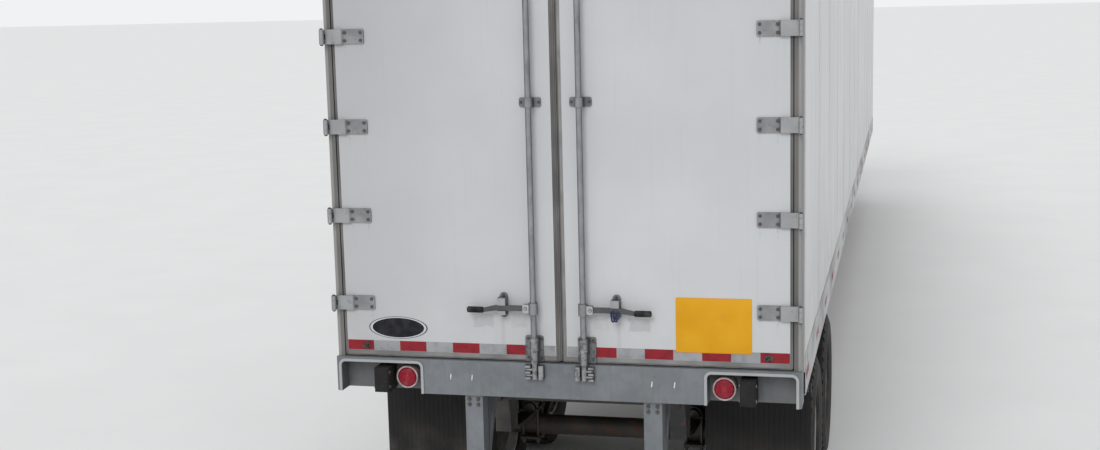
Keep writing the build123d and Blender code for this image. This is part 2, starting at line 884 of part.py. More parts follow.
# Landing braces: diagonals to the crossmembers, the cross shaft between the legs and the folded crank.
with BuildPart() as landing_braces:
    leg_inside_x = leg_x - leg_outer_width / 2
    leg_back_y = landing_y - leg_outer_width / 2
    for side in sides:
        with BuildSketch(Plane.XZ.offset(-landing_y + brace_thickness / 2)):
            outline(
                (side * leg_inside_x, brace_foot_z),
                (side * leg_inside_x, brace_foot_z + brace_width),
                (side * (brace_head_x + brace_width), crossmember_bottom),
                (side * brace_head_x, crossmember_bottom),
            )
        extrude(amount=-brace_thickness)
        with BuildSketch(Plane.YZ.offset(side * leg_x - brace_thickness / 2)):
            outline(
                (leg_back_y, brace_foot_z),
                (leg_back_y, brace_foot_z + brace_width),
                (landing_y - brace_head_run, crossmember_bottom),
                (landing_y - brace_head_run - brace_width, crossmember_bottom),
            )
        extrude(amount=brace_thickness)
    round_bar(
        Plane.YZ.offset(-leg_inside_x), (landing_y, cross_shaft_z), cross_shaft_radius, 2 * leg_inside_x
    )
    crank_x = gear_box_x + gear_box_width
    round_bar(
        Plane.YZ.offset(-crank_x - crank_stub), (landing_y, cross_shaft_z), crank_bar / 2, crank_stub
    )
    slab(
        (-crank_x - crank_stub, -crank_x - crank_stub + crank_bar),
        (landing_y - crank_reach, landing_y + crank_bar / 2),
        (cross_shaft_z - crank_bar / 2, cross_shaft_z + crank_bar / 2),
    )
    round_bar(
        Plane.YZ.offset(-crank_x - crank_stub + crank_bar),
        (landing_y - crank_reach + crank_bar / 2, cross_shaft_z),
        crank_bar / 2,
        2 * crank_stub,
    )

# Nose box: the electric socket between the two air couplings, on the front wall.
with BuildPart() as nose_box:
    slab(
        (-nose_box_width / 2, nose_box_width / 2),
        (front_y, front_y + nose_box_depth),
        (nose_box_z - nose_box_height / 2, nose_box_z + nose_box_height / 2),
    )
    nose_face_y = front_y + nose_box_depth
    chamfer(nose_box.faces().group_by(Axis.Y)[-1].edges(), bumper_edge)
    round_bar(Plane.XZ.offset(-nose_face_y), (0, nose_box_z), socket_radius, -socket_length)
    round_bar(
        Plane.XZ.offset(-nose_face_y - socket_length),
        (0, nose_box_z),
        socket_bore_radius,
        socket_bore_depth,
        Mode.SUBTRACT,
    )
    for side in sides:
        coupling = (side * air_coupling_x, nose_box_z)
        round_bar(Plane.XZ.offset(-nose_face_y), coupling, air_coupling_stem / 2, -air_coupling_stem)
        round_bar(
            Plane.XZ.offset(-nose_face_y - air_coupling_stem),
            coupling,
            air_coupling_radius,
            -(air_coupling_length - air_coupling_stem),
        )

pieces = {
    "floor": floor,
    "crossmembers": crossmembers,
    "side_walls": side_walls,
    "side_rails": side_rails,
    "roof": roof,
    "front_wall": front_wall,
    "rear_posts": rear_posts,
    "rear_header": rear_header,
    "rear_sill": rear_sill,
    "hinge_butts": hinge_butts,
    "lock_keepers": lock_keepers,
    "tail_lamps": tail_lamps,
    "marker_lamps": marker_lamps,
    "dock_bumpers": dock_bumpers,
    "underride_guard": underride_guard,
    "slide_rails": slide_rails,
    "slider_frame": slider_frame,
    "mud_flaps": mud_flaps,
    "leaf_springs": leaf_springs,
    "axles": axles,
    "brake_chambers": brake_chambers,
    "air_tank": air_tank,
    "coupler_plate": coupler_plate,
    "kingpin": kingpin,
    "landing_legs": landing_legs,
    "landing_braces": landing_braces,
    "nose_box": nose_box,
}

# Doors. The free edges stand at either side of a gap just off the middle, where the left door's rubber
# is the wide one and the right door has a metal edging beside its rubber.
door_table = (
    # name, side, free edge, rubber at the free edge, metal edging at the free edge
    ("left", -1, centre_gap / 2 - centre_gap_offset, left_seal_width, 0),
    ("right", 1, centre_gap / 2 + centre_gap_offset, right_seal_width, door_free_edge),
)
guide_low_z = door_bottom - door_gap / 2
guide_high_z = door_top + door_gap / 2 - guide_plate_height
mid_guide_low_z = handle_z + mid_guide_above_handle - mid_guide_height / 2
guide_table = (
    # plate bottom, height, width, offset from the rod, then the saddle's bottom, height and ring collars
    (guide_low_z, guide_plate_height, guide_plate_width, guide_plate_offset,
     guide_low_z + guide_plate_height - guide_saddle_height, guide_saddle_height, 2),
    (mid_guide_low_z, mid_guide_height, mid_guide_width, 0, mid_guide_low_z, mid_guide_height, 0),
    (guide_high_z, guide_plate_height, guide_plate_width, guide_plate_offset,
     guide_high_z, guide_saddle_height, 2),
)
strap_tip_x = hinge_pin_x - strap_length
strap_step_x = hinge_pin_x - strap_raised_length
strap_y = door_y - strap_thickness
raised_y = strap_y - strap_raise
rod_bottom = keeper_zs[0]
rod_top = keeper_zs[1] + keeper_height
sleeve_table = (
    # bottom and top of the wide sleeve at each end of a rod, in line with the guides' open ends
    (guide_low_z, guide_table[0][4] - lock_sleeve_gap),
    (guide_table[2][4] + guide_saddle_height + lock_sleeve_gap, guide_high_z + guide_plate_height),
)
for name, side, free_edge, free_seal, edging in door_table:
    panel_x = free_edge + free_seal

    # Door: a core with a raised face that stops short of the metal edging.
    with BuildPart() as door:
        slab(
            (side * panel_x, side * door_outer_x),
            (door_y + door_face_height, door_inner_y),
            (door_bottom, door_top),
        )
        slab(
            (side * (panel_x + edging), side * door_outer_x),
            (door_y, door_y + door_face_height),
            (door_bottom + door_end_edge, door_top - door_end_edge),
        )

    # Door seal: rubber along the free edge and the hinge edge.
    with BuildPart() as door_seal:
        for inner, outer in ((free_edge, panel_x), (door_outer_x, door_outer_x + side_seal_width)):
            slab(
                (side * inner, side * outer),
                (door_y + seal_inset, door_inner_y - seal_inset),
                (door_bottom, door_top),
            )

    # Hinge straps: a flat leg on the door, a raised leg over the post and a split knuckle.
    with BuildPart() as hinge_straps:
        for z in hinge_zs:
            with BuildSketch(Plane.XY.offset(z - hinge_height / 2)):
                outline(
                    (side * strap_tip_x, door_y),
                    (side * strap_tip_x, strap_y),
                    (side * (strap_step_x - strap_raise), strap_y),
                    (side * strap_step_x, raised_y),
                    (side * hinge_pin_x, raised_y),
                    (side * hinge_pin_x, raised_y + strap_thickness),
                    (side * (strap_step_x + strap_thickness), raised_y + strap_thickness),
                    (side * (strap_step_x + strap_thickness - strap_raise), door_y),
                )
                with Locations((side * hinge_pin_x, pin_y)):
                    Circle(hinge_knuckle_radius)
                with Locations((side * hinge_pin_x, (pin_y + raised_y + strap_thickness) / 2)):
                    Rectangle(hinge_knuckle_radius, raised_y + strap_thickness - pin_y)
                with Locations((side * hinge_pin_x, pin_y)):
                    Circle(hinge_pin_radius + hinge_bore_clearance, mode=Mode.SUBTRACT)
            extrude(amount=hinge_height)
            slab(
                (side * (hinge_pin_x - strap_knuckle_reach), side * half_width),
                (pin_y - hinge_knuckle_radius, door_y),
                (z - butt_height / 2 - butt_gap, z + butt_height / 2 + butt_gap),
                mode=Mode.SUBTRACT,
            )
        tips = hinge_straps.edges().filter_by(Axis.Y).group_by(Axis.X)[0 if side > 0 else -1]
        fillet(tips, strap_tip_radius)

    # Rod guides: a bearing at each end of the door and one at its middle, with the handle's catch.
    with BuildPart() as rod_guides:
        for plate_z, plate_height, plate_width, offset_x, saddle_z, saddle_height, collars in guide_table:
            with BuildSketch(Plane.XZ.offset(-door_y)):
                with Locations((side * (rod_x + offset_x), plate_z + plate_height / 2)):
                    RectangleRounded(plate_width, plate_height, guide_plate_radius)
            extrude(amount=guide_plate_thickness)
            with BuildSketch(Plane.XY.offset(saddle_z)):
                with Locations((side * rod_x, rod_y)):
                    Circle(guide_saddle_radius)
                with Locations((side * rod_x, (rod_y + door_y) / 2)):
                    Rectangle(2 * guide_saddle_radius, rod_standoff)
            extrude(amount=saddle_height)
            for n in range(collars):
                round_bar(
                    Plane.XY.offset(saddle_z + guide_collar_inset + n * guide_collar_pitch),
                    (side * rod_x, rod_y),
                    guide_collar_radius,
                    guide_collar_height,
                )
            round_bar(
                Plane.XY.offset(plate_z),
                (side * rod_x, rod_y),
                rod_radius + rod_clearance,
                plate_height,
                Mode.SUBTRACT,
            )
        with BuildSketch(Plane.XZ.offset(-door_y)):
            with Locations((side * catch_x, handle_z + (catch_above - catch_below) / 2)):
                SlotOverall(catch_above + catch_below, catch_width, rotation=90)
        extrude(amount=catch_thickness)
        bar_half = handle_bar_height / 2 + catch_gap
        for arm_bottom, arm_top in (
            (handle_z - catch_below + catch_width / 2, handle_z - bar_half),
            (handle_z + bar_half, handle_z + catch_above - catch_width / 2),
        ):
            slab(
                (side * (catch_x - catch_width / 2), side * (catch_x + catch_width / 2)),
                (door_y - catch_reach, door_y),
                (arm_bottom, arm_top),
            )

    # Lock rod: a tube with a sleeve and a two-fingered cam at each end. At its hub a clevis holds the
    # handle's bar, which bends down to the grip.
    with BuildPart() as lock_rod:
        rod_place = (side * rod_x, rod_y)
        round_bar(Plane.XY.offset(rod_bottom), rod_place, rod_radius, rod_top - rod_bottom)
        for sleeve_bottom, sleeve_top in sleeve_table:
            round_bar(
                Plane.XY.offset(sleeve_bottom), rod_place, lock_sleeve_radius, sleeve_top - sleeve_bottom
            )
        for bottom in keeper_zs:
            for n in range(2):
                gap_middle = bottom + keeper_finger_height + (finger_pitch - keeper_finger_height) / 2
                with BuildSketch(Plane.XY.offset(gap_middle + n * finger_pitch - cam_finger_height / 2)):
                    with Locations((side * (rod_x + (cam_finger_reach - rod_radius) / 2), rod_y)):
                        SlotOverall(cam_finger_reach + rod_radius, cam_finger_depth)
                extrude(amount=cam_finger_height)
        round_bar(
            Plane.XY.offset(handle_z - handle_hub_height / 2), rod_place, handle_hub_radius, handle_hub_height
        )
        clevis_inside = handle_bar_thickness / 2 + clevis_gap
        for ear in sides:
            ear_y = rod_y + ear * (clevis_inside + clevis_wall / 2)
            with BuildSketch(Plane.XZ.offset(-ear_y - clevis_wall / 2)):
                with Locations((side * (rod_x + clevis_outer_x) / 2, handle_z)):
                    RectangleRounded(clevis_outer_x - rod_x, clevis_height, clevis_pin_radius)
            extrude(amount=clevis_wall)
        clevis_depth = 2 * (clevis_inside + clevis_wall)
        round_bar(
            Plane.XZ.offset(-rod_y - clevis_depth / 2 - clevis_wall / 2),
            (side * clevis_pin_x, handle_z),
            clevis_pin_radius,
            clevis_depth + clevis_wall,
        )
        with BuildSketch(Plane.XZ.offset(-rod_y - handle_bar_thickness / 2)):
            grip_z = handle_z - handle_bar_drop
            outline(
                (side * rod_x, handle_z - handle_bar_height / 2),
                (side * handle_bend_x, handle_z - handle_bar_height / 2),
                (side * handle_grip_x, grip_z - handle_neck_height / 2),
                (side * handle_grip_x, grip_z + handle_neck_height / 2),
                (side * handle_bend_x, handle_z + handle_bar_height / 2),
                (side * rod_x, handle_z + handle_bar_height / 2),
            )
        extrude(amount=handle_bar_thickness)

    # Handle grip: a black sleeve with round ends, on the bar's end.
    with BuildPart() as handle_grip:
        round_bar(
            Plane.YZ.offset(min(side * handle_grip_x, side * handle_tip_x)),
            (rod_y, grip_z),
            handle_grip_radius,
            handle_tip_x - handle_grip_x,
        )
        chamfer(handle_grip.edges().filter_by(GeomType.CIRCLE), handle_grip_edge)

    pieces[f"door_{name}"] = door
    pieces[f"door_seal_{name}"] = door_seal
    pieces[f"hinge_straps_{name}"] = hinge_straps
    pieces[f"rod_guides_{name}"] = rod_guides
    pieces[f"lock_rod_{name}"] = lock_rod
    pieces[f"handle_grip_{name}"] = handle_grip

# Wheel ends: a pair of tyres on two disc wheels, bolted back to back on one hub and drum.
tyre_outline = (
    # across from the tyre's middle, radius
    (-bead_width / 2, bead_radius),
    (-tyre_width / 2, widest_radius),
    (-tread_width / 2, wheel_radius),
    (tread_width / 2, wheel_radius),
    (tyre_width / 2, widest_radius),
    (bead_width / 2, bead_radius),
)
flange_lean = (
    (rim_flange_radius - bead_radius) * (tyre_width - bead_width) / 2 / (widest_radius - bead_radius)
)
wheel_table = (
    ("rear_left", -1, axle_ys[0]),
    ("rear_right", 1, axle_ys[0]),
    ("front_left", -1, axle_ys[1]),
    ("front_right", 1, axle_ys[1]),
)
for name, side, axle_y in wheel_table:
    spin = Axis((0, axle_y, wheel_radius), (1, 0, 0))
    section = Plane.XZ.offset(-axle_y)
    with BuildPart() as tyres:
        with BuildSketch(section):
            for twin in (-1, 1):
                middle = wheel_x + twin * twin_spacing / 2
                outline(*[(side * (middle + x), wheel_radius + r) for x, r in tyre_outline])
        revolve(axis=spin)

    with BuildPart() as wheel:
        with BuildSketch(section):
            for twin in (-1, 1):
                middle = wheel_x + twin * twin_spacing / 2
                half = bead_width / 2
                lip = half + flange_lean
                barrel = (
                    (middle - lip, rim_flange_radius),
                    (middle - half, bead_radius),
                    (middle + half, bead_radius),
                    (middle + lip, rim_flange_radius),
                    (middle + lip, bead_radius - rim_thickness),
                    (middle - lip, bead_radius - rim_thickness),
                )
                outline(*[(side * x, wheel_radius + r) for x, r in barrel])
                inner_radius = bead_radius - rim_thickness
                disc = (
                    (wheel_x, hub_radius / 2),
                    (wheel_x, disc_flat_radius),
                    (wheel_x + twin * disc_rise, inner_radius),
                    (wheel_x + twin * (disc_rise + disc_thickness), inner_radius),
                    (wheel_x + twin * disc_thickness, disc_flat_radius),
                    (wheel_x + twin * disc_thickness, hub_radius / 2),
                )
                outline(*[(side * x, wheel_radius + r) for x, r in disc])
            bore_radius = spindle_radius + spindle_clearance
            hub_end_x = wheel_x + hub_reach
            hub = (
                (drum_inner_x, bore_radius),
                (spindle_end_x + spindle_end_gap, bore_radius),
                (spindle_end_x + spindle_end_gap, 0),
                (hub_end_x + hub_cap_length, 0),
                (hub_end_x + hub_cap_length, hub_cap_radius),
                (hub_end_x, hub_cap_radius),
                (hub_end_x, hub_radius - hub_taper),
                (wheel_x + disc_thickness, hub_radius),
                (drum_outer_x, hub_radius),
                (drum_outer_x, drum_radius),
                (drum_inner_x, drum_radius),
            )
            outline(*[(side * x, wheel_radius + r) for x, r in hub])
        revolve(axis=spin)
        with BuildSketch(Plane.YZ.offset(side * wheel_x)):
            with Locations((axle_y, wheel_radius)):
                with PolarLocations(hand_hole_circle, hand_hole_count):
                    Circle(hand_hole_radius)
        extrude(amount=disc_rise + disc_thickness, both=True, mode=Mode.SUBTRACT)

    pieces[f"tyres_{name}"] = tyres
    pieces[f"wheel_{name}"] = wheel

for label, piece in pieces.items():
    piece.part.label = label
    export_step(piece.part, f"parts/{label}.step")
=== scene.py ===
from itertools import product
from math import atan2, cos, pi, radians, sin

import bpy
from mathutils import Matrix, Vector


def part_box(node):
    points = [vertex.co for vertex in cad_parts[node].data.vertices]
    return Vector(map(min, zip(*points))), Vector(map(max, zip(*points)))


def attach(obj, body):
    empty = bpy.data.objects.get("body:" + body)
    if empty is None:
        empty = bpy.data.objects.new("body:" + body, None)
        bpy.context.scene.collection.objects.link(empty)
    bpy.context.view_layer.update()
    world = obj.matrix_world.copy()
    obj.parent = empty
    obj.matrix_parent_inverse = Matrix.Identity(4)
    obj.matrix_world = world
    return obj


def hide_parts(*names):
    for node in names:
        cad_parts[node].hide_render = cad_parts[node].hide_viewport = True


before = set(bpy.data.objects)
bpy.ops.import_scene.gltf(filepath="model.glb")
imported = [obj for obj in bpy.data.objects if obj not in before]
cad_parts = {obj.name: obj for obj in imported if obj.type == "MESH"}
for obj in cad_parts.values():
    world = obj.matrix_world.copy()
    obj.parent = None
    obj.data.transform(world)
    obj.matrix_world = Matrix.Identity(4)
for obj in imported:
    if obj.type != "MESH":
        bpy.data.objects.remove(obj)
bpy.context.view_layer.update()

# Camera: held a little above head height, to the kerb side of the doors' middle and turned back towards
# them, so that their lower half with the lock gear and the sill fills the frame.
camera = bpy.data.objects.new("camera", bpy.data.cameras.new("camera"))
bpy.context.collection.objects.link(camera)
bpy.context.scene.camera = camera
bpy.context.scene.view_settings.view_transform = "Standard"
camera.data.sensor_width = 36
camera.data.lens = 47.54
camera.data.clip_end = 1000
eye = (1.7958, -15.5154, 3.1911)
yaw, pitch, roll = (radians(angle) for angle in (13.853, -8.613, 1.400))
facing = Matrix.Rotation(yaw, 3, "Z") @ Matrix.Rotation(pitch, 3, "X") @ Matrix.Rotation(roll, 3, "Y")
right, ahead, up = facing.col
aim = Matrix((right, up, -ahead)).transposed().to_4x4()
camera.matrix_world = Matrix.Translation(eye) @ aim

# Studio: a wide pale floor under the tyres, a soft even sky that looks brighter to the camera than the
# light it gives, and one broad lamp behind the camera.


class Reading:
    """A value or a colour that is read over a surface, so that a finish is written as plain sums."""

    def __init__(self, socket):
        self.socket = socket

    def node(self, kind, inputs, output=0, **settings):
        """Adds a shader node of that kind beside this reading and gives one of its outputs."""
        made = self.socket.id_data.nodes.new("ShaderNode" + kind)
        for name, setting in settings.items():
            setattr(made, name, setting)
        for place, value in inputs.items():
            if isinstance(value, Reading):
                made.id_data.links.new(value.socket, made.inputs[place])
            else:
                made.inputs[place].default_value = value
        return Reading(made.outputs[output])

    def sum(self, operation, first, second=0.0):
        return self.node("Math", {0: first, 1: second}, operation=operation)

    def __add__(self, other):
        return self.sum("ADD", self, other)

    def __radd__(self, other):
        return self.sum("ADD", other, self)

    def __sub__(self, other):
        return self.sum("SUBTRACT", self, other)

    def __rsub__(self, other):
        return self.sum("SUBTRACT", other, self)

    def __mul__(self, other):
        return self.sum("MULTIPLY", self, other)

    def __rmul__(self, other):
        return self.sum("MULTIPLY", other, self)

    def __truediv__(self, other):
        return self.sum("DIVIDE", self, other)

    def __pow__(self, other):
        return self.sum("POWER", self, other)

    def __abs__(self):
        return self.sum("ABSOLUTE", self)

    def diagonal(self, other):
        """The distance that two readings at right angles make together."""
        return (self**2 + other**2) ** 0.5

    def repeat(self, pitch):
        """The distance past the last whole pitch."""
        return self.sum("FRACT", self / pitch) * pitch

    def near(self, centre, pitch):
        """The distance from the nearest of the lines that stand a pitch apart, one of them at centre."""
        return abs((self - (centre - pitch / 2)).repeat(pitch) - pitch / 2)

    def over(self, edge):
        return self.sum("GREATER_THAN", self, edge)

    def under(self, edge):
        return self.sum("LESS_THAN", self, edge)

    def within(self, low, high):
        return self.over(low) * self.under(high)

    def fade(self, start, end):
        """Runs smoothly from 0 at start to 1 at end."""
        values = {"Value": self, "From Min": start, "From Max": end}
        return self.node("MapRange", values, interpolation_type="SMOOTHSTEP")

    def blend(self, first, second):
        """The first colour where this is 0 and the second where it is 1."""
        first, second = (c if isinstance(c, Reading) else (*c, 1) for c in (first, second))
        return self.node("Mix", {0: self, 6: first, 7: second}, output=2, data_type="RGBA")


class Finish:
    """A surface finish: its material, its shader, and the place on the object that its patterns read."""

    def __init__(self, name, roughness=0.5, metallic=0.0, specular=0.5, coat=0.0):
        self.material = bpy.data.materials.new(name)
        self.material.use_nodes = True
        self.shader = self.material.node_tree.nodes["Principled BSDF"]
        self.shader.inputs["Roughness"].default_value = roughness
        self.shader.inputs["Metallic"].default_value = metallic
        self.shader.inputs["Specular IOR Level"].default_value = specular
        self.shader.inputs["Coat Weight"].default_value = coat
        spot = self.material.node_tree.nodes.new("ShaderNodeTexCoord")
        self.place = Reading(spot.outputs["Object"])
        parts = [self.place.node("SeparateXYZ", {0: self.place}, output=n) for n in range(3)]
        self.x, self.y, self.z = parts
        self.out = abs(self.x)

    def stretched(self, stretch):
        return self.place.node("VectorMath", {0: self.place, 1: stretch}, operation="MULTIPLY")

    def cloud(self, scale, detail=3.0, stretch=(1, 1, 1)):
        """A soft random cloud with that many spots to a metre, squeezed along the axes by stretch."""
        values = {"Vector": self.stretched(stretch), "Scale": scale, "Detail": detail}
        return self.place.node("TexNoise", values)

    def spangle(self, scale, stretch=(1, 1, 1)):
        """Flat random cells, as hot-dip zinc shows."""
        values = {"Vector": self.stretched(stretch), "Scale": scale}
        cells = self.place.node("TexVoronoi", values, output="Color")
        return self.place.node("SeparateColor", {0: cells})

    def grazing(self):
        """0 where the surface faces the eye and 1 where it turns away from it."""
        return self.place.node("LayerWeight", {"Blend": 0.5}, output="Facing")

    def round(self, x, z):
        """The distance in the X and Z plane from a point that stands at both sides alike."""
        return (self.out - x).diagonal(self.z - z)

    def set(self, socket, value):
        self.material.node_tree.links.new(value.socket, self.shader.inputs[socket])

    def color(self, value):
        self.set("Base Color", value)

    def rough(self, value):
        self.set("Roughness", value)

    def bump(self, height, metres):
        """Raises the surface by that many metres where the height is 1."""
        self.set("Normal", self.place.node("Bump", {"Height": height, "Distance": metres}))


bpy.ops.object.select_all(action="DESELECT")
bpy.ops.mesh.primitive_plane_add(size=900)
ground = bpy.context.object
ground.name = "ground"
pale_floor = Finish("pale floor", roughness=0.9, specular=0.1)
floor_cloud = pale_floor.cloud(0.9, 4).fade(0.3, 0.7)
pale_floor.color(floor_cloud.blend((0.85, 0.85, 0.845), (0.87, 0.87, 0.865)))
ground.data.materials.append(pale_floor.material)
sky = bpy.data.worlds.new("sky")
bpy.context.scene.world = sky
sky.use_nodes = True
sky_light = sky.node_tree.nodes["Background"]
rays = sky.node_tree.nodes.new("ShaderNodeLightPath").outputs
seen, mirrored, through = (
    Reading(rays[kind]) for kind in ("Is Camera Ray", "Is Glossy Ray", "Is Transmission Ray")
)
seen = seen.sum("MAXIMUM", seen.sum("MAXIMUM", seen, mirrored * 0.6), through)
sky.node_tree.links.new((0.66 + seen * 0.24).socket, sky_light.inputs["Strength"])
sky_light.inputs["Color"].default_value = (0.97, 0.985, 1, 1)
bpy.ops.object.light_add(type="SUN", location=(-2, -24, 12))
key_lamp = bpy.context.object
key_lamp.name = "key_lamp"
key_lamp.data.energy = 1.35
key_lamp.data.angle = radians(30)
key_lamp.rotation_euler = Vector((2, 20, -14)).to_track_quat("-Z", "Y").to_euler()

# Load floor: oak boards along the body in ship-lapped strips 300 mm wide, screwed down to every
# crossmember with two screws a board, scuffed pale by pallet trucks.


def dress(finish, *nodes):
    """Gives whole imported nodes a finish."""
    for node in nodes:
        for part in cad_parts[node].material_slots:
            part.material = finish.material


boards = Finish("oak boards")
board_wide = 0.3
board = boards.x / board_wide
board_tone = board.node("TexWhiteNoise", {"W": board.sum("FLOOR", board)}, noise_dimensions="1D")
oak_figure = boards.cloud(9, 5, stretch=(9, 0.35, 9)).fade(0.3, 0.7)
oak = oak_figure.blend((0.16, 0.098, 0.056), (0.31, 0.21, 0.13))
oak = (board_tone * 0.35).blend(oak, (0.12, 0.08, 0.055))
wear = boards.cloud(1.4, 4, stretch=(1, 0.25, 1)).fade(0.42, 0.75)
oak = (wear * 0.4).blend(oak, (0.33, 0.29, 0.25))
board_joint = boards.x.near(board_wide / 2, board_wide).under(0.0016)
screw = boards.x.near(0.06, 0.18).diagonal(boards.y.near(-7.78, 0.305)).under(0.006)
gaps = board_joint.sum("MAXIMUM", board_joint, screw)
boards.color((gaps * 0.8).blend(oak, (0.03, 0.025, 0.02)))
boards.rough(0.5 + oak_figure * 0.2)
boards.bump(0.4 * oak_figure - gaps, 0.0015)
dress(boards, "floor")

# Crossmembers and bogie beams: rolled steel, dipped in black wax paint, with road dust and rust spots. The
# slide rails have a row of holes for the slider's pins.
paint = Finish("frame paint")
dust = paint.cloud(6, 5).fade(0.42, 0.7)
rust = paint.cloud(17, 6).fade(0.60, 0.70)
black = paint.cloud(2, 3).blend((0.034, 0.034, 0.036), (0.062, 0.060, 0.058))
black = (dust * 0.5).blend(black, (0.17, 0.15, 0.125))
black = (rust * 0.8).blend(black, (0.13, 0.055, 0.03))
holes_from, holes_to, hole_pitch, hole_z, hole_radius = -7.70, -2.60, 0.1524, 1.088, 0.016
rail_hole = paint.y.near(holes_from, hole_pitch).diagonal(paint.z - hole_z).under(hole_radius)
rail_hole = rail_hole * paint.out.within(0.46, 0.57) * paint.y.within(holes_from, holes_to)
paint.color(rail_hole.blend(black, (0.004, 0.004, 0.004)))
paint.rough(0.42 + dust * 0.4)
paint.bump(paint.cloud(45, 3) + rust * 0.4 - rail_hole * 3, 0.0008)
dress(paint, "crossmembers", "slide_rails", "slider_frame", "landing_braces")

# Side walls: plywood between white sheets, joined every 1219 mm by a riveted strip. Inside, a corrugated
# scuff band of galvanised steel runs along the foot, and slotted posts for load bars stand above it.
sheet_wide, band_top, load_post_pitch, slot_pitch = 1.219, 1.571, 0.6096, 0.0508
wall = Finish("side sheet")
strip = wall.y.near(-7.927, sheet_wide)
rivet_row = abs(strip - 0.022)
rivet = rivet_row.diagonal(wall.z.near(1.26, 0.05)).fade(0.0068, 0.0042)
streaks = wall.cloud(5, 5, stretch=(1, 3.5, 0.16)).fade(0.5, 0.8)
splash = wall.z.fade(2.1, 1.25) * wall.cloud(3, 5).fade(0.3, 0.7)
panel = wall.cloud(0.7, 4).fade(0.3, 0.7).blend((0.62, 0.63, 0.64), (0.69, 0.70, 0.705))
panel = (streaks * 0.28).blend(panel, (0.40, 0.39, 0.37))
panel = (splash * 0.30).blend(panel, (0.36, 0.33, 0.29))
scuff_band = wall.z.under(band_top) * wall.out.under(1.2562)
zinc_cells = wall.spangle(34)
post_middle = wall.y.near(-7.622, load_post_pitch)
load_post = post_middle.under(0.025) * wall.out.under(1.257) * wall.z.over(band_top)
slots = load_post * post_middle.under(0.007) * wall.z.near(1.65, slot_pitch).under(0.016)
bare_zinc = scuff_band + load_post
panel = bare_zinc.blend(panel, zinc_cells.blend((0.25, 0.26, 0.27), (0.38, 0.39, 0.40)))
panel = slots.blend(panel, (0.02, 0.02, 0.02))
wall.color(panel)
wall.rough(0.33 + streaks * 0.25)
wall.set("Metallic", bare_zinc * 0.7)
corrugation = wall.z.near(1.28, 0.07).fade(0.0, 0.02) * scuff_band
wall.bump(rivet * 0.7 + corrugation + wall.cloud(1.3, 2) * 0.6 - slots, 0.0035)
dress(wall, "side_walls")

# Side rails: long aluminium extrusions along the roof and the floor, riveted through the walls in two
# rows. The bottom one carries red and white reflective tape and flush amber and red side lamps.
tape_run, side_lamp_z = 0.4572, 1.288
rail = Finish("aluminium rail")
rail_low = rail.z.under(1.4)
drawn = rail.cloud(60, 3, stretch=(1, 0.02, 1)).fade(0.3, 0.7)
bright = drawn.blend((0.42, 0.43, 0.44), (0.56, 0.57, 0.58))
grime = rail.cloud(2.5, 5, stretch=(1, 0.5, 1)).fade(0.4, 0.7) * rail_low
bright = (grime * 0.5).blend(bright, (0.22, 0.20, 0.175))
outside = rail.out.over(1.2985)
along = (rail.y + 7.9).repeat(tape_run * 2)
side_tape = rail.z.within(1.185, 1.236) * along.under(tape_run) * outside
tape_tone = rail.cloud(14, 4).fade(0.35, 0.75)
side_film = along.under(tape_run / 2).blend(
    tape_tone.blend((0.44, 0.445, 0.45), (0.31, 0.30, 0.29)),
    tape_tone.blend((0.27, 0.020, 0.028), (0.15, 0.022, 0.026)),
)
bright = side_tape.blend(bright, side_film)
lamps, amber = 0.0, 0.0
for lamp_y, is_amber in ((-7.80, 0), (-0.02, 1), (7.80, 1)):
    spot = (rail.y - lamp_y).diagonal(rail.z - side_lamp_z).under(0.03) * outside
    lamps = lamps + spot
    amber = amber + spot * is_amber
lamp_color = amber.blend((0.36, 0.012, 0.014), (0.72, 0.24, 0.012))
rail.color(lamps.blend(bright, lamp_color))
rail.rough(0.34 + drawn * 0.12 + grime * 0.3 - lamps * 0.25)
rail.set("Metallic", 0.75 - (side_tape + lamps) * 0.75)
rail_rivets = (
    rail.z.near(1.306, 0.165) ** 2 * rail_low
    + rail.z.near(4.010, 0.050) ** 2 * (1 - rail_low)
    + rail.y.near(-7.90, 0.0762) ** 2
) ** 0.5
rail_rivets = rail_rivets.fade(0.0095, 0.006) * outside
lamp_ribs = rail.z.near(side_lamp_z, 0.009).fade(0.0, 0.003) * lamps
rail.bump(rail_rivets + drawn * 0.08 + lamp_ribs, 0.0028)
dress(rail, "side_rails")


# Roof: one aluminium sheet stretched over galvanised bows and bonded to them, which shows each bow as a
# faint ridge.
roof = Finish("roof sheet", metallic=0.3, specular=0.35)
roof_cloud = roof.cloud(1.6, 5).fade(0.3, 0.75)
roof_runs = roof.cloud(5, 5, stretch=(0.2, 2, 1)).fade(0.5, 0.8)
tone = roof_cloud.blend((0.50, 0.51, 0.52), (0.575, 0.585, 0.595))
roof.color((roof_runs * 0.3).blend(tone, (0.40, 0.40, 0.39)))
roof.rough(0.58 + roof.cloud(4, 4) * 0.2)
roof.bump(roof.y.near(-7.622, 0.61).fade(0.06, 0.0) + roof.cloud(1.6, 2), 0.003)
dress(roof, "roof")

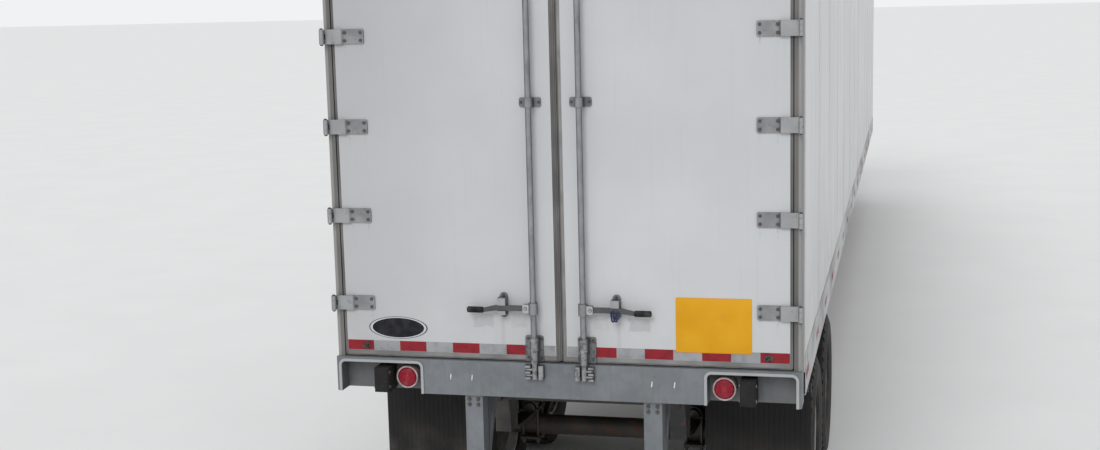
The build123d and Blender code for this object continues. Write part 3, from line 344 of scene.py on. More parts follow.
# Front wall: white aluminium sheet bent round both corners and riveted to uprights that stand 400 mm
# apart, marked by rain and insects.
nose_sheet = Finish("nose sheet")
upright_row = abs(nose_sheet.x.near(0.2, 0.4) - 0.015)
nose_rivet = upright_row.diagonal(nose_sheet.z.near(1.26, 0.075)).fade(0.0075, 0.005)
insects = nose_sheet.spangle(110).over(0.988) * nose_sheet.cloud(3, 4).fade(0.45, 0.7)
nose = nose_sheet.cloud(0.8, 4).fade(0.3, 0.7).blend((0.56, 0.57, 0.58), (0.62, 0.63, 0.635))
rain = nose_sheet.cloud(6, 5, stretch=(3, 1, 0.15)).fade(0.5, 0.8)
nose = (rain * 0.25).blend(nose, (0.38, 0.37, 0.35))
nose_sheet.color((insects * 0.6).blend(nose, (0.18, 0.15, 0.11)))
nose_sheet.rough(0.34 + rain * 0.2)
nose_sheet.bump(nose_rivet * 0.7 + nose_sheet.cloud(1.4, 2) * 0.6, 0.0035)
dress(nose_sheet, "front_wall")

# Roof's front closure: a strip of aluminium that is rolled to the roof's crown and fills the gap between
# the front wall's flat top and the roof sheet.


def only(*pieces):
    """Selects these pieces alone, the last of them active."""
    bpy.ops.object.select_all(action="DESELECT")
    for piece in pieces:
        piece.select_set(True)
        bpy.context.view_layer.objects.active = piece


def start(primitive, **shape):
    """Adds a primitive with nothing else selected, and puts its place, turn and scale into its mesh."""
    bpy.ops.object.select_all(action="DESELECT")
    primitive(**shape)
    bpy.ops.object.transform_apply(location=True, rotation=True, scale=True)
    return bpy.context.object


def leave():
    """Ends edit mode with everything selected."""
    bpy.ops.mesh.select_all(action="SELECT")
    bpy.ops.object.mode_set(mode="OBJECT")


def sweep(steps, angle, center, axis):
    """Spins the piece that was started last about an axis into a solid with its faces outwards."""
    bpy.ops.object.mode_set(mode="EDIT")
    bpy.ops.mesh.select_mode(type="VERT")
    bpy.ops.mesh.select_all(action="SELECT")
    bpy.ops.mesh.spin(steps=steps, angle=angle, center=center, axis=axis, dupli=False)
    bpy.ops.mesh.select_all(action="SELECT")
    bpy.ops.mesh.remove_doubles(threshold=0.0001)
    bpy.ops.mesh.normals_make_consistent(inside=False)
    leave()


def join(name, *pieces):
    """Joins pieces into one that is smooth but for its sharp edges."""
    only(*pieces)
    bpy.ops.object.join()
    joined = bpy.context.object
    joined.name = name
    bpy.ops.object.shade_smooth_by_angle(angle=radians(35))
    return joined


def fit(name, body, finish, slot, *pieces):
    """Joins pieces into one, and gives it its finish and the body that carries it; the slot is not used."""
    piece = join(name, *pieces)
    piece.data.materials.clear()
    piece.data.materials.append(finish.material)
    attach(piece, body)
    return piece


underside, crown, roof_half = 4.1046, 0.012, 1.285
bow_radius = (roof_half**2 + crown**2) / (2 * crown)
bow_middle = Vector((0, 8.057, underside - bow_radius))
half_turn = roof_half / bow_radius
closure = start(bpy.ops.mesh.primitive_circle_add, vertices=4, fill_type="NGON")
for corner, (along, drop) in zip(closure.data.vertices, ((-15, 18), (15, 18), (15, 0), (-15, 0))):
    corner.co = (0, bow_middle.y + along / 1000, underside - drop / 1000)
tip_over = Matrix.Rotation(-half_turn, 4, "Y")
closure.data.transform(Matrix.Translation(bow_middle) @ tip_over @ Matrix.Translation(-bow_middle))
sweep(16, -2 * half_turn, bow_middle, (0, 1, 0))
fit("roof_closure", "root", roof, "aluminium_rail", closure)

# Rear header and sill: folded galvanised steel, dull and bluish, streaked by rain. The rolled lip round
# each lamp recess has a painted highlight, and the recess behind it is darkened by painted shade and dirt.


def block(low, high, edge=0.0, steps=2):
    """A block between two corners with its edges rounded."""
    middle = [(a + b) / 2 for a, b in zip(low, high)]
    size = [abs(b - a) for a, b in zip(low, high)]
    piece = start(bpy.ops.mesh.primitive_cube_add, size=1, location=middle, scale=size)
    if edge:
        bpy.ops.object.mode_set(mode="EDIT")
        bpy.ops.mesh.bevel(offset=edge, segments=steps, affect="EDGES")
        leave()
    return piece


recess_x, recess_top = (0.795, 1.262), 1.245
beam = Finish("galvanised beam", specular=0.3)
cells = beam.spangle(30, (1, 1, 0.7))
zinc = (0.3 * cells + 0.7 * beam.cloud(3, 4).fade(0.25, 0.75)).blend(
    (0.138, 0.151, 0.163), (0.208, 0.223, 0.237)
)
runs = beam.cloud(10, 4, stretch=(3.5, 1, 0.3)).fade(0.5, 0.75)
zinc = (runs * 0.35).blend(zinc, (0.13, 0.128, 0.122))
# Painted highlight: the lamp hoods' lower lip is made pale.
lip = beam.y.under(-8.0775) * beam.z.under(1.27)
zinc = (lip * 0.75).blend(zinc, (0.44, 0.45, 0.455))
# Painted shade, with dirt: the lamp recesses are made darker.
sunk = beam.y.over(-8.070) * beam.z.under(recess_top + 0.001)
sunk = sunk * beam.out.within(recess_x[0] - 0.001, recess_x[1] + 0.001)
zinc = (sunk * 0.5).blend(zinc, (0.105, 0.10, 0.10))
rust_spots = beam.cloud(26, 6).fade(0.66, 0.72) * beam.z.under(1.28)
zinc = (rust_spots * 0.5).blend(zinc, (0.17, 0.09, 0.055))
beam.color(zinc)
beam.rough(0.45 + runs * 0.2 + cells * 0.06)
beam.set("Metallic", 0.3 - runs * 0.2)
beam.bump(beam.cloud(14, 4), 0.0007)
dress(beam, "rear_header", "rear_sill")
tab_zinc = Finish("bright zinc")
tone = tab_zinc.cloud(60, 4).fade(0.3, 0.7)
tab_zinc.color(tone.blend((0.50, 0.51, 0.52), (0.74, 0.75, 0.76)))
tab_zinc.rough(0.3 + tab_zinc.cloud(80, 3) * 0.2)
sill_y, tab_z, tab_wide, tab_tall, tab_lean = -8.077, 1.1775, 0.007, 0.033, radians(7)
tabs = []
for tab_x in (-0.622, -0.500, 0.500, 0.622):
    low, high = (-tab_wide / 2, sill_y - 0.005, -tab_tall / 2), (tab_wide / 2, sill_y + 0.001, tab_tall / 2)
    tab = block(low, high, 0.0022)
    tab.data.transform(Matrix.Translation((tab_x, 0, tab_z)) @ Matrix.Rotation(tab_lean, 4, "Y"))
    tabs.append(tab)
fit("sill_tabs", "root", tab_zinc, "galvanised_steel", *tabs)

# Rear posts: formed steel, welded to the header and the sill, brown with wiped dust, and paler along the
# outer edge.
post_metal = Finish("post metal", metallic=0.15, specular=0.3)
pale_outer_edge = post_metal.out.fade(1.266, 1.274)
post = post_metal.cloud(7, 5, stretch=(1, 1, 0.25)).fade(0.3, 0.7).blend(
    (0.110, 0.106, 0.104), (0.170, 0.163, 0.158)
)
post = (pale_outer_edge * 0.7).blend(post, (0.33, 0.325, 0.32))
post_metal.color(post)
post_metal.rough(0.48 + post_metal.cloud(9, 3) * 0.15)
post_metal.bump(post_metal.cloud(20, 3), 0.0006)
dress(post_metal, "rear_posts")

# Tail lamps: a moulded red lens with rings of prisms inside, held by a pale rubber grommet that grips
# the hole's edge.


def turned(section, steps, place=(0, 0, 0), turn=0.0):
    """A ring, turned about the X axis from its closed section of corners (along, radius) in millimetres,
    then turned about Z and moved to its place."""
    piece = start(bpy.ops.mesh.primitive_circle_add, vertices=len(section), radius=1)
    for corner, (along, radius) in zip(piece.data.vertices, section):
        corner.co = (along / 1000, 0, radius / 1000)
    sweep(steps, 2 * pi, (0, 0, 0), (1, 0, 0))
    piece.data.transform(Matrix.Translation(place) @ Matrix.Rotation(turn, 4, "Z"))
    return piece


lens_x, lens_z, lens_radius, lamp_face_y = 0.884, 1.160, 0.0545, -8.054
tail_lens = Finish("tail lamp lens", specular=0.2)
from_middle = tail_lens.round(lens_x, lens_z)
rim = from_middle.over(lens_radius)
prisms = from_middle.near(0.0, 0.0065).fade(0.0, 0.003)
spokes = tail_lens.cloud(90, 1).fade(0.4, 0.6)
red = (prisms * 0.6 + spokes * 0.4).blend((0.16, 0.004, 0.014), (0.33, 0.008, 0.026))
red = (from_middle.under(0.017) * 0.5).blend(red, (0.40, 0.020, 0.035))
grommet = tail_lens.cloud(30, 4).fade(0.3, 0.7).blend((0.30, 0.225, 0.22), (0.44, 0.36, 0.355))
tail_lens.color(rim.blend(red, grommet))
tail_lens.rough(0.14 + rim * 0.5)
tail_lens.set("Coat Weight", 0.25 - rim * 0.25)
tail_lens.bump(prisms * (1 - rim), 0.0015)
dress(tail_lens, "tail_lamps")
grommet_rubber = Finish("grommet rubber")
soft_pink = grommet_rubber.cloud(40, 4).fade(0.3, 0.7)
grommet_rubber.color(soft_pink.blend((0.28, 0.215, 0.21), (0.46, 0.385, 0.375)))
grommet_rubber.rough(0.5 + soft_pink * 0.2)
grommet_section = (
    (4.4, 56.5), (4.4, 61.0), (2.4, 63.2), (-2.2, 63.2),
    (-4.3, 61.6), (-5.0, 59.0), (-4.3, 56.2), (-2.4, 54.2),
)
both_sides = (("left", -1), ("right", 1))
for side, sign in both_sides:
    grommet = turned(grommet_section, 48, (sign * lens_x, lamp_face_y, lens_z), pi / 2)
    fit(f"lamp_grommet_{side}", "root", grommet_rubber, "black_rubber", grommet)

# Marker lamps: small lamps sealed in ribbed plastic along the header and at the front's top, red behind
# and amber ahead.
marker_lens = Finish("marker lens", coat=0.6)
ribs = marker_lens.x.near(0.0, 0.006).fade(0.0, 0.002)
marker_red = ribs.blend((0.20, 0.006, 0.008), (0.40, 0.02, 0.02))
marker_lens.color(marker_lens.y.over(0).blend(marker_red, (0.62, 0.20, 0.015)))
marker_lens.rough(0.12 + ribs * 0.1)
marker_lens.bump(ribs, 0.001)
dress(marker_lens, "marker_lamps")

# Dock bumpers: layers of tyre rubber pressed into a block between two steel cheeks, with a bolt through
# each end.
bumper = Finish("bumper rubber", specular=0.15)
cord_ends = bumper.cloud(160, 2).fade(0.62, 0.68)
layer = bumper.out.near(1.013, 0.0118).fade(0.0, 0.0015)
tone = bumper.cloud(12, 5).blend((0.010, 0.010, 0.011), (0.034, 0.033, 0.032))
bumper.color((cord_ends * 0.25).blend(tone, (0.11, 0.10, 0.09)))
bumper.rough(0.8 - cord_ends * 0.1)
bumper.bump(layer + cord_ends * 0.3, 0.0012)
dress(bumper, "dock_bumpers")
bolt_steel = Finish("bolt steel", metallic=0.4)
bolt_rust = bolt_steel.cloud(70, 4).fade(0.5, 0.7)
tone = bolt_steel.cloud(30, 2).blend((0.045, 0.043, 0.042), (0.12, 0.115, 0.11))
bolt_steel.color((bolt_rust * 0.6).blend(tone, (0.14, 0.065, 0.038)))
bolt_steel.rough(0.4 + bolt_rust * 0.3)
turns = {"x": (0, pi / 2, 0), "y": (pi / 2, 0, 0), "z": (0, 0, 0)}


def pick(piece, wanted):
    """Enters edit mode with those faces selected whose middle and normal pass the test."""
    only(piece)
    bpy.ops.object.mode_set(mode="EDIT")
    bpy.ops.mesh.select_mode(type="FACE")
    bpy.ops.mesh.select_all(action="DESELECT")
    bpy.ops.object.mode_set(mode="OBJECT")
    for face in piece.data.polygons:
        face.select = wanted(face.center, face.normal)
    bpy.ops.object.mode_set(mode="EDIT")


def screw_head(middle, axis, radius, height, sides=6):
    """A bolt head or nut that stands on its base along an axis, with its outer edge chamfered."""
    along = "xyz".index(axis)
    lift = Vector([height / 2 if n == along else 0 for n in range(3)])
    shape = {"vertices": sides, "radius": radius, "depth": abs(height), "rotation": turns[axis]}
    piece = start(bpy.ops.mesh.primitive_cylinder_add, location=lift, **shape)
    pick(piece, lambda centre, normal: normal[along] * height > 0.9 * abs(height))
    bpy.ops.mesh.inset(thickness=radius * 0.16)
    bpy.ops.transform.translate(value=lift * 0.44)
    leave()
    piece.data.transform(Matrix.Translation(middle))
    return piece


def fasten(name, body, *bolts):
    """Joins bolts and other dark steel pieces and gives them to a body."""
    fit(name, body, bolt_steel, "zinc_hardware", *bolts)


bolt_y, bolt_zs, head_radius = -8.103, (1.112, 1.194), 0.011
bumper_cheeks = (
    # face from the middle, rise of the heads
    (0.9715, -0.005), (1.0545, 0.005),
)
for side, sign in both_sides:
    bolts = [
        screw_head((sign * face_x, bolt_y, bolt_z), "x", head_radius, sign * rise)
        for (face_x, rise), bolt_z in product(bumper_cheeks, bolt_zs)
    ]
    fasten(f"bumper_bolts_{side}", "root", *bolts)

# Door leaves: plywood with a white sheet on both faces, closed along the bottom, the top and the kerb
# leaf's free edge by a grey metal edging. Rain, hands and the straps' bolts leave their marks.
door_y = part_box("door_left")[0].y
door_bottom, door_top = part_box("door_left")[0].z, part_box("door_left")[1].z
kerb_edge_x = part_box("door_right")[0].x
hinge_z, hinge_pitch, hinge_count = 1.578, 0.490, 5
strap_bolt_xs, edging_tall, edging_wide = (1.074, 1.165), 0.027, 0.017
door = Finish("door white")
edging = door.z.under(door_bottom + edging_tall) + door.z.over(door_top - edging_tall)
edging = edging + door.x.within(kerb_edge_x - 0.001, kerb_edge_x + edging_wide)
edging = edging.sum("MINIMUM", edging, 1.0)
sheet = door.cloud(1.1, 4).fade(0.35, 0.7).blend((0.505, 0.516, 0.527), (0.560, 0.571, 0.581))
rain_marks = door.cloud(9, 4, stretch=(6, 6, 0.16)).fade(0.54, 0.8)
sheet = (rain_marks * 0.20).blend(sheet, (0.42, 0.43, 0.43))
# Painted shade: the white sheet is darkened towards the top of both leaves, and across the left leaf towards
# its hinges.
painted_shade_gradient = door.z.fade(1.9, 4.2) * 0.22 + door.x.fade(0.0, -1.3) * 0.5
sheet = painted_shade_gradient.blend(sheet, (0.34, 0.345, 0.355))
low_grime = door.z.fade(door_bottom + 0.45, door_bottom) * door.cloud(7, 5).fade(0.35, 0.65)
sheet = (low_grime * 0.18).blend(sheet, (0.36, 0.36, 0.345))
below_strap = hinge_pitch - (door.z - (hinge_z - 0.04)).repeat(hinge_pitch)
inner_bolts, outer_bolts = (abs(door.out - bolt_x).under(0.005) for bolt_x in strap_bolt_xs)
outer_face = door.y.under(door_y + 0.004)
weep = (inner_bolts + outer_bolts) * outer_face * below_strap.fade(0.075, 0.0)
weep = weep * door.cloud(60, 2).fade(0.4, 0.6)
sheet = (weep * 0.5).blend(sheet, (0.30, 0.29, 0.27))
ragged = (door.cloud(16, 4) - 0.5) * 0.05
under_grip = abs(door.out - 0.432 + ragged).fade(0.060, 0.052)
under_grip = under_grip * abs(door.z - 1.490 - ragged).fade(0.036, 0.030)
under_bar = abs(door.out - 0.228 - ragged).fade(0.050, 0.036)
under_bar = under_bar * abs(door.z - 1.498 + ragged).fade(0.042, 0.030)
under_catch = abs(door.out - 0.322 + ragged * 0.4).fade(0.016, 0.006)
under_catch = under_catch * door.z.within(1.36, 1.52)
scuffs = outer_face * (under_grip + under_bar * 0.7 + under_catch * 0.6)
scuffs = scuffs * door.cloud(14, 3).fade(0.15, 0.5)
sheet = (scuffs * 0.55).blend(sheet, (0.36, 0.36, 0.36))
edge_metal = door.cloud(16, 3, stretch=(0.3, 1, 0.3)).fade(0.3, 0.7).blend(
    (0.175, 0.172, 0.168), (0.275, 0.272, 0.268)
)
door.color(edging.blend(sheet, edge_metal))
door.rough(0.32 + door.cloud(3.5, 4) * 0.16 + edging * 0.08)
door.set("Metallic", edging * 0.3)
door.set("Coat Weight", 0.12 - edging * 0.12)
door.bump(door.cloud(3.0, 2), 0.0012)
dress(door, "door_left", "door_right")

# Door rubber: extruded black seals round both leaves, grey with road dust, with a lip that closes the seam
# between the leaves and another that hangs from the foot of each over the sill.
door_rubber = Finish("door rubber", specular=0.2)
seam_dust = door_rubber.cloud(14, 4, stretch=(1, 1, 0.25)).fade(0.35, 0.7)
dusty = seam_dust.blend((0.110, 0.107, 0.104), (0.170, 0.163, 0.156))
door_rubber.color(door_rubber.y.over(-8.038).blend(dusty, (0.03, 0.03, 0.03)))
door_rubber.rough(0.65 + seam_dust * 0.2)
lip_lines = door_rubber.x.near(-0.0145, 0.0125).fade(0.0, 0.003) * door_rubber.out.under(0.03)
door_rubber.bump(lip_lines, 0.002)
dress(door_rubber, "door_seal_left", "door_seal_right")
lip_front, lip_back, lip_outer = door_y + 0.0035, door_y + 0.013, 1.236
seam_lip = block((-0.004, lip_front, door_bottom), (0.0062, lip_back, door_top), 0.002)
fit("seam_lip", "left_door", door_rubber, "black_rubber", seam_lip)
for side, sign in both_sides:
    low = (sign * 0.012, lip_front - 0.002, door_bottom - 0.0055)
    foot_lip = block(low, (sign * lip_outer, lip_back, door_bottom + 0.004), 0.0025)
    fit(f"foot_lip_{side}", f"{side}_door", door_rubber, "black_rubber", foot_lip)

# Reflective tape: a strip along the foot of each leaf, 6 in red and 6 in white in turn, a film of tiny
# sealed prisms that is dull with dirt. It stops at the lock gear's plates and goes on beside the seam.
tape_bottom, tape_top, tape_outer, tape_piece = 1.308, 1.364, 1.227, 0.1535
tape = Finish("reflective film", specular=0.15)
film_cell = tape.place.node(
    "TexVoronoi", {"Vector": tape.place, "Scale": 190.0}, feature="DISTANCE_TO_EDGE"
)
film_dirt = tape.cloud(18, 5).fade(0.4, 0.75)
from_end = tape_outer - tape.out
is_red = from_end.repeat(tape_piece * 2).under(tape_piece)
film = is_red.blend(
    film_dirt.blend((0.295, 0.30, 0.315), (0.205, 0.205, 0.21)),
    film_dirt.blend((0.260, 0.012, 0.021), (0.155, 0.014, 0.021)),
)
piece = from_end.sum("FLOOR", from_end / tape_piece)
piece_tone = piece.node("TexWhiteNoise", {"W": piece + tape.x.over(0) * 40}, noise_dimensions="1D")
film = (piece_tone * 0.16 * (1 - is_red)).blend(film, (0.50, 0.51, 0.51))
seal_lines = film_cell.fade(0.05, 0.0) * 0.12
tape.color(seal_lines.blend(film, (0.28, 0.22, 0.22)))
tape.rough(0.25 + film_dirt * 0.25)
tape.set("Coat Weight", 0.12 - film_dirt * 0.1)
tape_thick, tape_edge = 0.0005, 0.0002
tape_ends = {
    "left": ((-0.194, -tape_outer), (-0.030, -0.0945)),
    "right": ((0.182, tape_outer), (0.035, 0.0945)),
}
for side, ends in tape_ends.items():
    runs = [
        block((inner_x, door_y - tape_thick, tape_bottom), (outer_x, door_y, tape_top), tape_edge, 1)
        for inner_x, outer_x in ends
    ]
    fit(f"tape_{side}", f"{side}_door", tape, "white_panel", *runs)


# Plates: a yellow sheet on the kerb leaf and a black oval with a pale line round it on the road leaf,
# both blank, glued on and faded by the sun.


def soften(piece, wanted, edge):
    """Rounds the edges of those faces that pass the test."""
    pick(piece, wanted)
    bpy.ops.mesh.bevel(offset=edge, segments=2, affect="EDGES")
    leave()


def faces_back(centre, normal):
    return normal.y < -0.9


def round_plate(low, high, corner, edge):
    """An upright sheet with round corners and a soft front edge."""
    piece = block(low, high)
    only(piece)
    bpy.ops.object.mode_set(mode="EDIT")
    bpy.ops.mesh.select_mode(type="EDGE")
    bpy.ops.mesh.select_all(action="DESELECT")
    bpy.ops.object.mode_set(mode="OBJECT")
    for line in piece.data.edges:
        front, back = (piece.data.vertices[n].co.y for n in line.vertices)
        line.select = abs(front - back) > 1e-5
    bpy.ops.object.mode_set(mode="EDIT")
    bpy.ops.mesh.bevel(offset=corner, segments=8, affect="EDGES")
    leave()
    soften(piece, faces_back, edge)
    return piece


sign_yellow = Finish("yellow plate", specular=0.2)
faded = sign_yellow.cloud(5, 4).fade(0.3, 0.75)
yellow = faded.blend((0.62, 0.29, 0.006), (0.68, 0.345, 0.012))
scrub = sign_yellow.cloud(30, 5, stretch=(0.3, 1, 1)).fade(0.6, 0.75)
margin = abs(sign_yellow.z - 1.5).over(0.1445)
yellow = (margin * 0.5).blend(yellow, (0.62, 0.20, 0.012))
sign_yellow.color((scrub * 0.25).blend(yellow, (0.50, 0.27, 0.06)))
sign_yellow.rough(0.35 + scrub * 0.3)
low, high = (0.628, door_y - 0.0025, 1.352), (1.030, door_y, 1.648)
sign_plate = round_plate(low, high, 0.006, 0.0008)
fit("sign_plate", "right_door", sign_yellow, "white_panel", sign_plate)
oval_black = Finish("oval plate", specular=0.2)
oval_x, oval_z, oval_half, oval_rise = -0.9265, 1.4395, 0.1705, 0.0625
share = ((oval_black.x - oval_x) / oval_half).diagonal((oval_black.z - oval_z) / oval_rise)
oval_worn = oval_black.cloud(25, 5).fade(0.35, 0.75)
dark = oval_worn.blend((0.008, 0.008, 0.012), (0.022, 0.022, 0.027))
oval_black.color(share.within(0.885, 0.965).blend(dark, (0.52, 0.53, 0.53)))
oval_black.rough(0.28 + oval_worn * 0.3)
oval = start(
    bpy.ops.mesh.primitive_cylinder_add,
    vertices=64,
    radius=1,
    depth=1,
    location=(oval_x, door_y - 0.001, oval_z),
    rotation=turns["y"],
    scale=(oval_half, oval_rise, 0.002),
)
soften(oval, faces_back, 0.0007)
fit("oval_plate", "left_door", oval_black, "white_panel", oval)

# Hinges: forged steel straps on the leaves, zinc plated and brushed brighter on the raised end, on butts
# that are welded to the posts. Four dark bolts hold each strap, and each pin has a peened head.


def copies(piece, places):
    """Copies of a piece at each place, each with its own mesh, and the first one taken away."""
    made = []
    for place in places:
        copy = piece.copy()
        copy.data = piece.data.copy()
        copy.data.transform(Matrix.Translation(place))
        bpy.context.collection.objects.link(copy)
        made.append(copy)
    bpy.data.objects.remove(piece)
    return made


strap = Finish("hinge zinc", metallic=0.45)
raised = strap.out.fade(1.178, 1.184)
tone = strap.cloud(12, 5).fade(0.3, 0.75).blend((0.205, 0.210, 0.217), (0.305, 0.310, 0.317))
tone = (raised * 0.45).blend(tone, (0.44, 0.445, 0.45))
strap_dirt = strap.cloud(28, 6).fade(0.55, 0.72)
# Painted shade: the straps and butts are darkened where their surfaces turn away from the eye.
tone = (strap.grazing().fade(0.1, 0.8) * 0.6).blend(tone, (0.05, 0.05, 0.052))
strap.color((strap_dirt * 0.4).blend(tone, (0.14, 0.13, 0.12)))
strap.rough(0.36 + strap_dirt * 0.3)
strap.bump(strap.cloud(50, 4), 0.0005)
dress(strap, "hinge_straps_left", "hinge_straps_right", "hinge_butts")
strap_y = door_y - 0.008
pin_x, pin_y, knuckle_half, head_radius = 1.286, -8.092, 0.040, 0.0088
hinge_steps = [(0, 0, hinge_pitch * n) for n in range(hinge_count)]
for side, sign in both_sides:
    bolts, pin_heads = [], []
    for bolt_x, rise in product(strap_bolt_xs, (-0.0216, 0.0216)):
        head = screw_head((sign * bolt_x, strap_y, hinge_z + rise), "y", head_radius, -0.006, 12)
        bolts += copies(head, hinge_steps)
    fasten(f"hinge_bolts_{side}", f"{side}_door", *bolts)
    for end in (-1, 1):
        place = (sign * pin_x, pin_y, hinge_z + end * knuckle_half)
        pin_heads += copies(screw_head(place, "z", head_radius, end * 0.006, 14), hinge_steps)
    fasten(f"hinge_pin_heads_{side}", "root", *pin_heads)

# Lock gear: rods of galvanised tube in bolted guides, with forged cams that turn into combs of fingers.
# The zinc is dull, stained below the sleeves and worn bright where steel runs on steel.
lock = Finish("lock zinc", metallic=0.35, specular=0.35)
lock_cells = lock.spangle(60, (1, 1, 0.35))
tone = (lock_cells * 0.35 + lock.cloud(8, 4).fade(0.3, 0.7) * 0.65).blend(
    (0.205, 0.210, 0.218), (0.315, 0.320, 0.330)
)
lock_dirt = lock.cloud(20, 5, stretch=(1, 1, 0.3)).fade(0.52, 0.75)
tone = (lock_dirt * 0.5).blend(tone, (0.12, 0.114, 0.105))
# Painted shade: the guide plates behind the rods are made darker.
painted_plate_shade = lock.y.over(-8.0612) * lock.z.within(1.27, 4.01)
tone = (painted_plate_shade * 0.5).blend(tone, (0.10, 0.10, 0.105))
handle_bar = lock.out.within(0.194, 0.416) * lock.y.within(-8.1088, -8.090)
handle_bar = handle_bar * abs(lock.z - 1.57).under(0.024)
tone = (handle_bar * 0.85).blend(tone, (0.060, 0.061, 0.064))
touched = lock.y.under(-8.1145) * lock.out.within(0.28, 0.34)
collars = abs(abs(lock.z - 1.378) - 0.027).under(0.006) * lock.y.under(-8.085)
worn = (lock.z.under(1.268) + lock.z.over(4.01)) * 0.35 + (touched + collars) * 0.6
tone = (worn * 0.5).blend(tone, (0.50, 0.505, 0.51))
clevis_front = lock.out.within(0.160, 0.194) * lock.y.under(-8.1155)
clevis_front = clevis_front * abs(lock.z - hinge_z).under(0.024)
tone = (clevis_front * 0.6).blend(tone, (0.52, 0.525, 0.53))
from_pin = lock.round(0.178, hinge_z)
pin_edge = abs(from_pin - 0.0085).under(0.002) + from_pin.under(0.003)
tone = (pin_edge * clevis_front * 0.7).blend(tone, (0.05, 0.05, 0.05))
# Painted shade: darker where the rods and cams turn away from the eye.
tone = (lock.grazing().fade(0.08, 0.75) * 0.8).blend(tone, (0.035, 0.035, 0.037))
grease = lock.cloud(34, 4).fade(0.50, 0.62) * lock.z.within(1.18, 1.43)
lock.color((grease * 0.55).blend(tone, (0.045, 0.042, 0.038)))
lock.rough(0.38 + lock_dirt * 0.25)
lock.bump(lock.cloud(45, 3), 0.0005)
dress(lock, "lock_rod_left", "lock_rod_right", "lock_keepers", "rod_guides_left", "rod_guides_right")
guide_bolts = (
    # distance from the middle, height
    (0.1045, 1.404), (0.1805, 1.404), (0.1045, 1.300), (0.1805, 1.300),
    (0.088, 2.685), (0.186, 2.685),
    (0.1045, 3.873), (0.1805, 3.873), (0.1045, 3.977), (0.1805, 3.977),
    (0.312, 1.642), (0.312, 1.527),
)
for side, sign in both_sides:
    bolts = [screw_head((sign * x, strap_y, z), "y", 0.0078, -0.0055) for x, z in guide_bolts]
    fasten(f"guide_bolts_{side}", f"{side}_door", *bolts)

# Handle grips: black rubber sleeves with fine ribs, moulded over the ends of the handle bars and
# polished in patches by gloves.
grip_rubber = Finish("grip rubber", specular=0.15)
palm = grip_rubber.cloud(30, 4).fade(0.4, 0.7)
grip_rubber.color(palm.blend((0.013, 0.013, 0.014), (0.045, 0.044, 0.043)))
grip_rubber.rough(0.7 - palm * 0.25)
grip_rubber.bump(grip_rubber.x.near(0.0, 0.006).fade(0.0, 0.002), 0.0008)
dress(grip_rubber, "handle_grip_left", "handle_grip_right")

# Holdback hooks: small forged hooks on the foot of each leaf, over the tape, that catch a chain on the
# side wall while the doors stand open. One bolt holds each.
hook_x, hook_z, base_half_wide, base_half_tall, base_thick = 1.118, 1.331, 0.023, 0.016, 0.0045
dark_zinc = Finish("dark zinc", metallic=0.3, specular=0.3)
dull = dark_zinc.cloud(60, 4).fade(0.35, 0.7)
dark_zinc.color(dull.blend((0.026, 0.024, 0.024), (0.10, 0.095, 0.092)))
dark_zinc.rough(0.45 + dull * 0.25)
dark_zinc.bump(dark_zinc.cloud(120, 3), 0.0004)
for side, sign in both_sides:
    low = (sign * hook_x - base_half_wide, door_y - base_thick, hook_z - base_half_tall)
    high = (sign * hook_x + base_half_wide, door_y, hook_z + base_half_tall)
    base = round_plate(low, high, 0.009, 0.0012)
    arm_x, root_y = sign * (hook_x - 0.012), door_y - 0.004
    wire = {"vertices": 12, "radius": 0.0055, "rotation": turns["y"], "fill_type": "NGON"}
    arm = start(bpy.ops.mesh.primitive_circle_add, location=(arm_x, root_y, hook_z), **wire)
    sweep(10, radians(115), (arm_x, root_y, hook_z + 0.015), (1, 0, 0))
    fit(f"holdback_hook_{side}", f"{side}_door", dark_zinc, "zinc_hardware", base, arm)
    head = screw_head((sign * (hook_x + 0.011), low[1], hook_z), "y", 0.0065, -0.005, 12)
    fasten(f"hook_bolt_{side}", f"{side}_door", head)

# Blue seal: a moulded strip of plastic that is threaded through the kerb side's catch and locked on
# itself, so that its two loops hang over the handle bar.
seal_blue = Finish("seal blue", specular=0.3)
moulded = seal_blue.cloud(120, 3).fade(0.3, 0.7)
seal_blue.color(moulded.blend((0.010, 0.014, 0.055), (0.030, 0.040, 0.115)))
seal_blue.rough(0.35 + moulded * 0.15)
catch_x, catch_y, catch_z = 0.312, -8.121, 1.548
band_section = (
    (-2.8, 2.6), (-1.4, 1.6), (1.4, 1.6), (2.8, 2.6), (2.8, 9.4), (1.4, 10.4), (-1.4, 10.4), (-2.8, 9.4)
)
loops = []
for loop_x, loop_y, tilt, tall in ((-0.0085, 0.0, -7, 0.040), (0.0075, -0.003, 12, 0.036)):
    loop = turned(band_section, 24, turn=pi / 2)
    pick(loop, lambda centre, normal: centre.z > 0)
    bpy.ops.transform.translate(value=(0, 0, tall))
    leave()
    place = Matrix.Translation((catch_x + loop_x, catch_y + loop_y, catch_z - tall / 2))
    loop.data.transform(place @ Matrix.Rotation(radians(tilt), 4, "Y"))
    loops.append(loop)
fit("door_seal_tag", "right_rod", seal_blue, "black_rubber", *loops)

# Underride guard: welded square tube, galvanised, with the same tape along the level bar and a bolted
# splice at the foot of each upright.
dress(beam, "underride_guard")
guard_low, guard_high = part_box("underride_guard")
guard_y, bar_middle_z, tape_half, cap_in, cap_out = guard_low.y, 0.510, 0.026, 1.176, 1.180
low = (guard_low.x + 0.010, guard_y - tape_thick, bar_middle_z - tape_half)
high = (guard_high.x - 0.010, guard_y, bar_middle_z + tape_half)
fit("tape_guard", "root", tape, "white_panel", block(low, high, tape_edge, 1))
caps = []
for sign in (-1, 1):
    low, high = (sign * cap_in, guard_y + 0.002, 0.462), (sign * cap_out, guard_y + 0.098, 0.558)
    caps.append(block(low, high, 0.0015))
    for bolt_x, bolt_z in product((0.475, 0.525), (0.620, 0.680, 1.020, 1.050)):
        caps.append(screw_head((sign * bolt_x, guard_y, bolt_z), "y", 0.011, -0.008))
fasten("guard_bolts", "root", *caps)

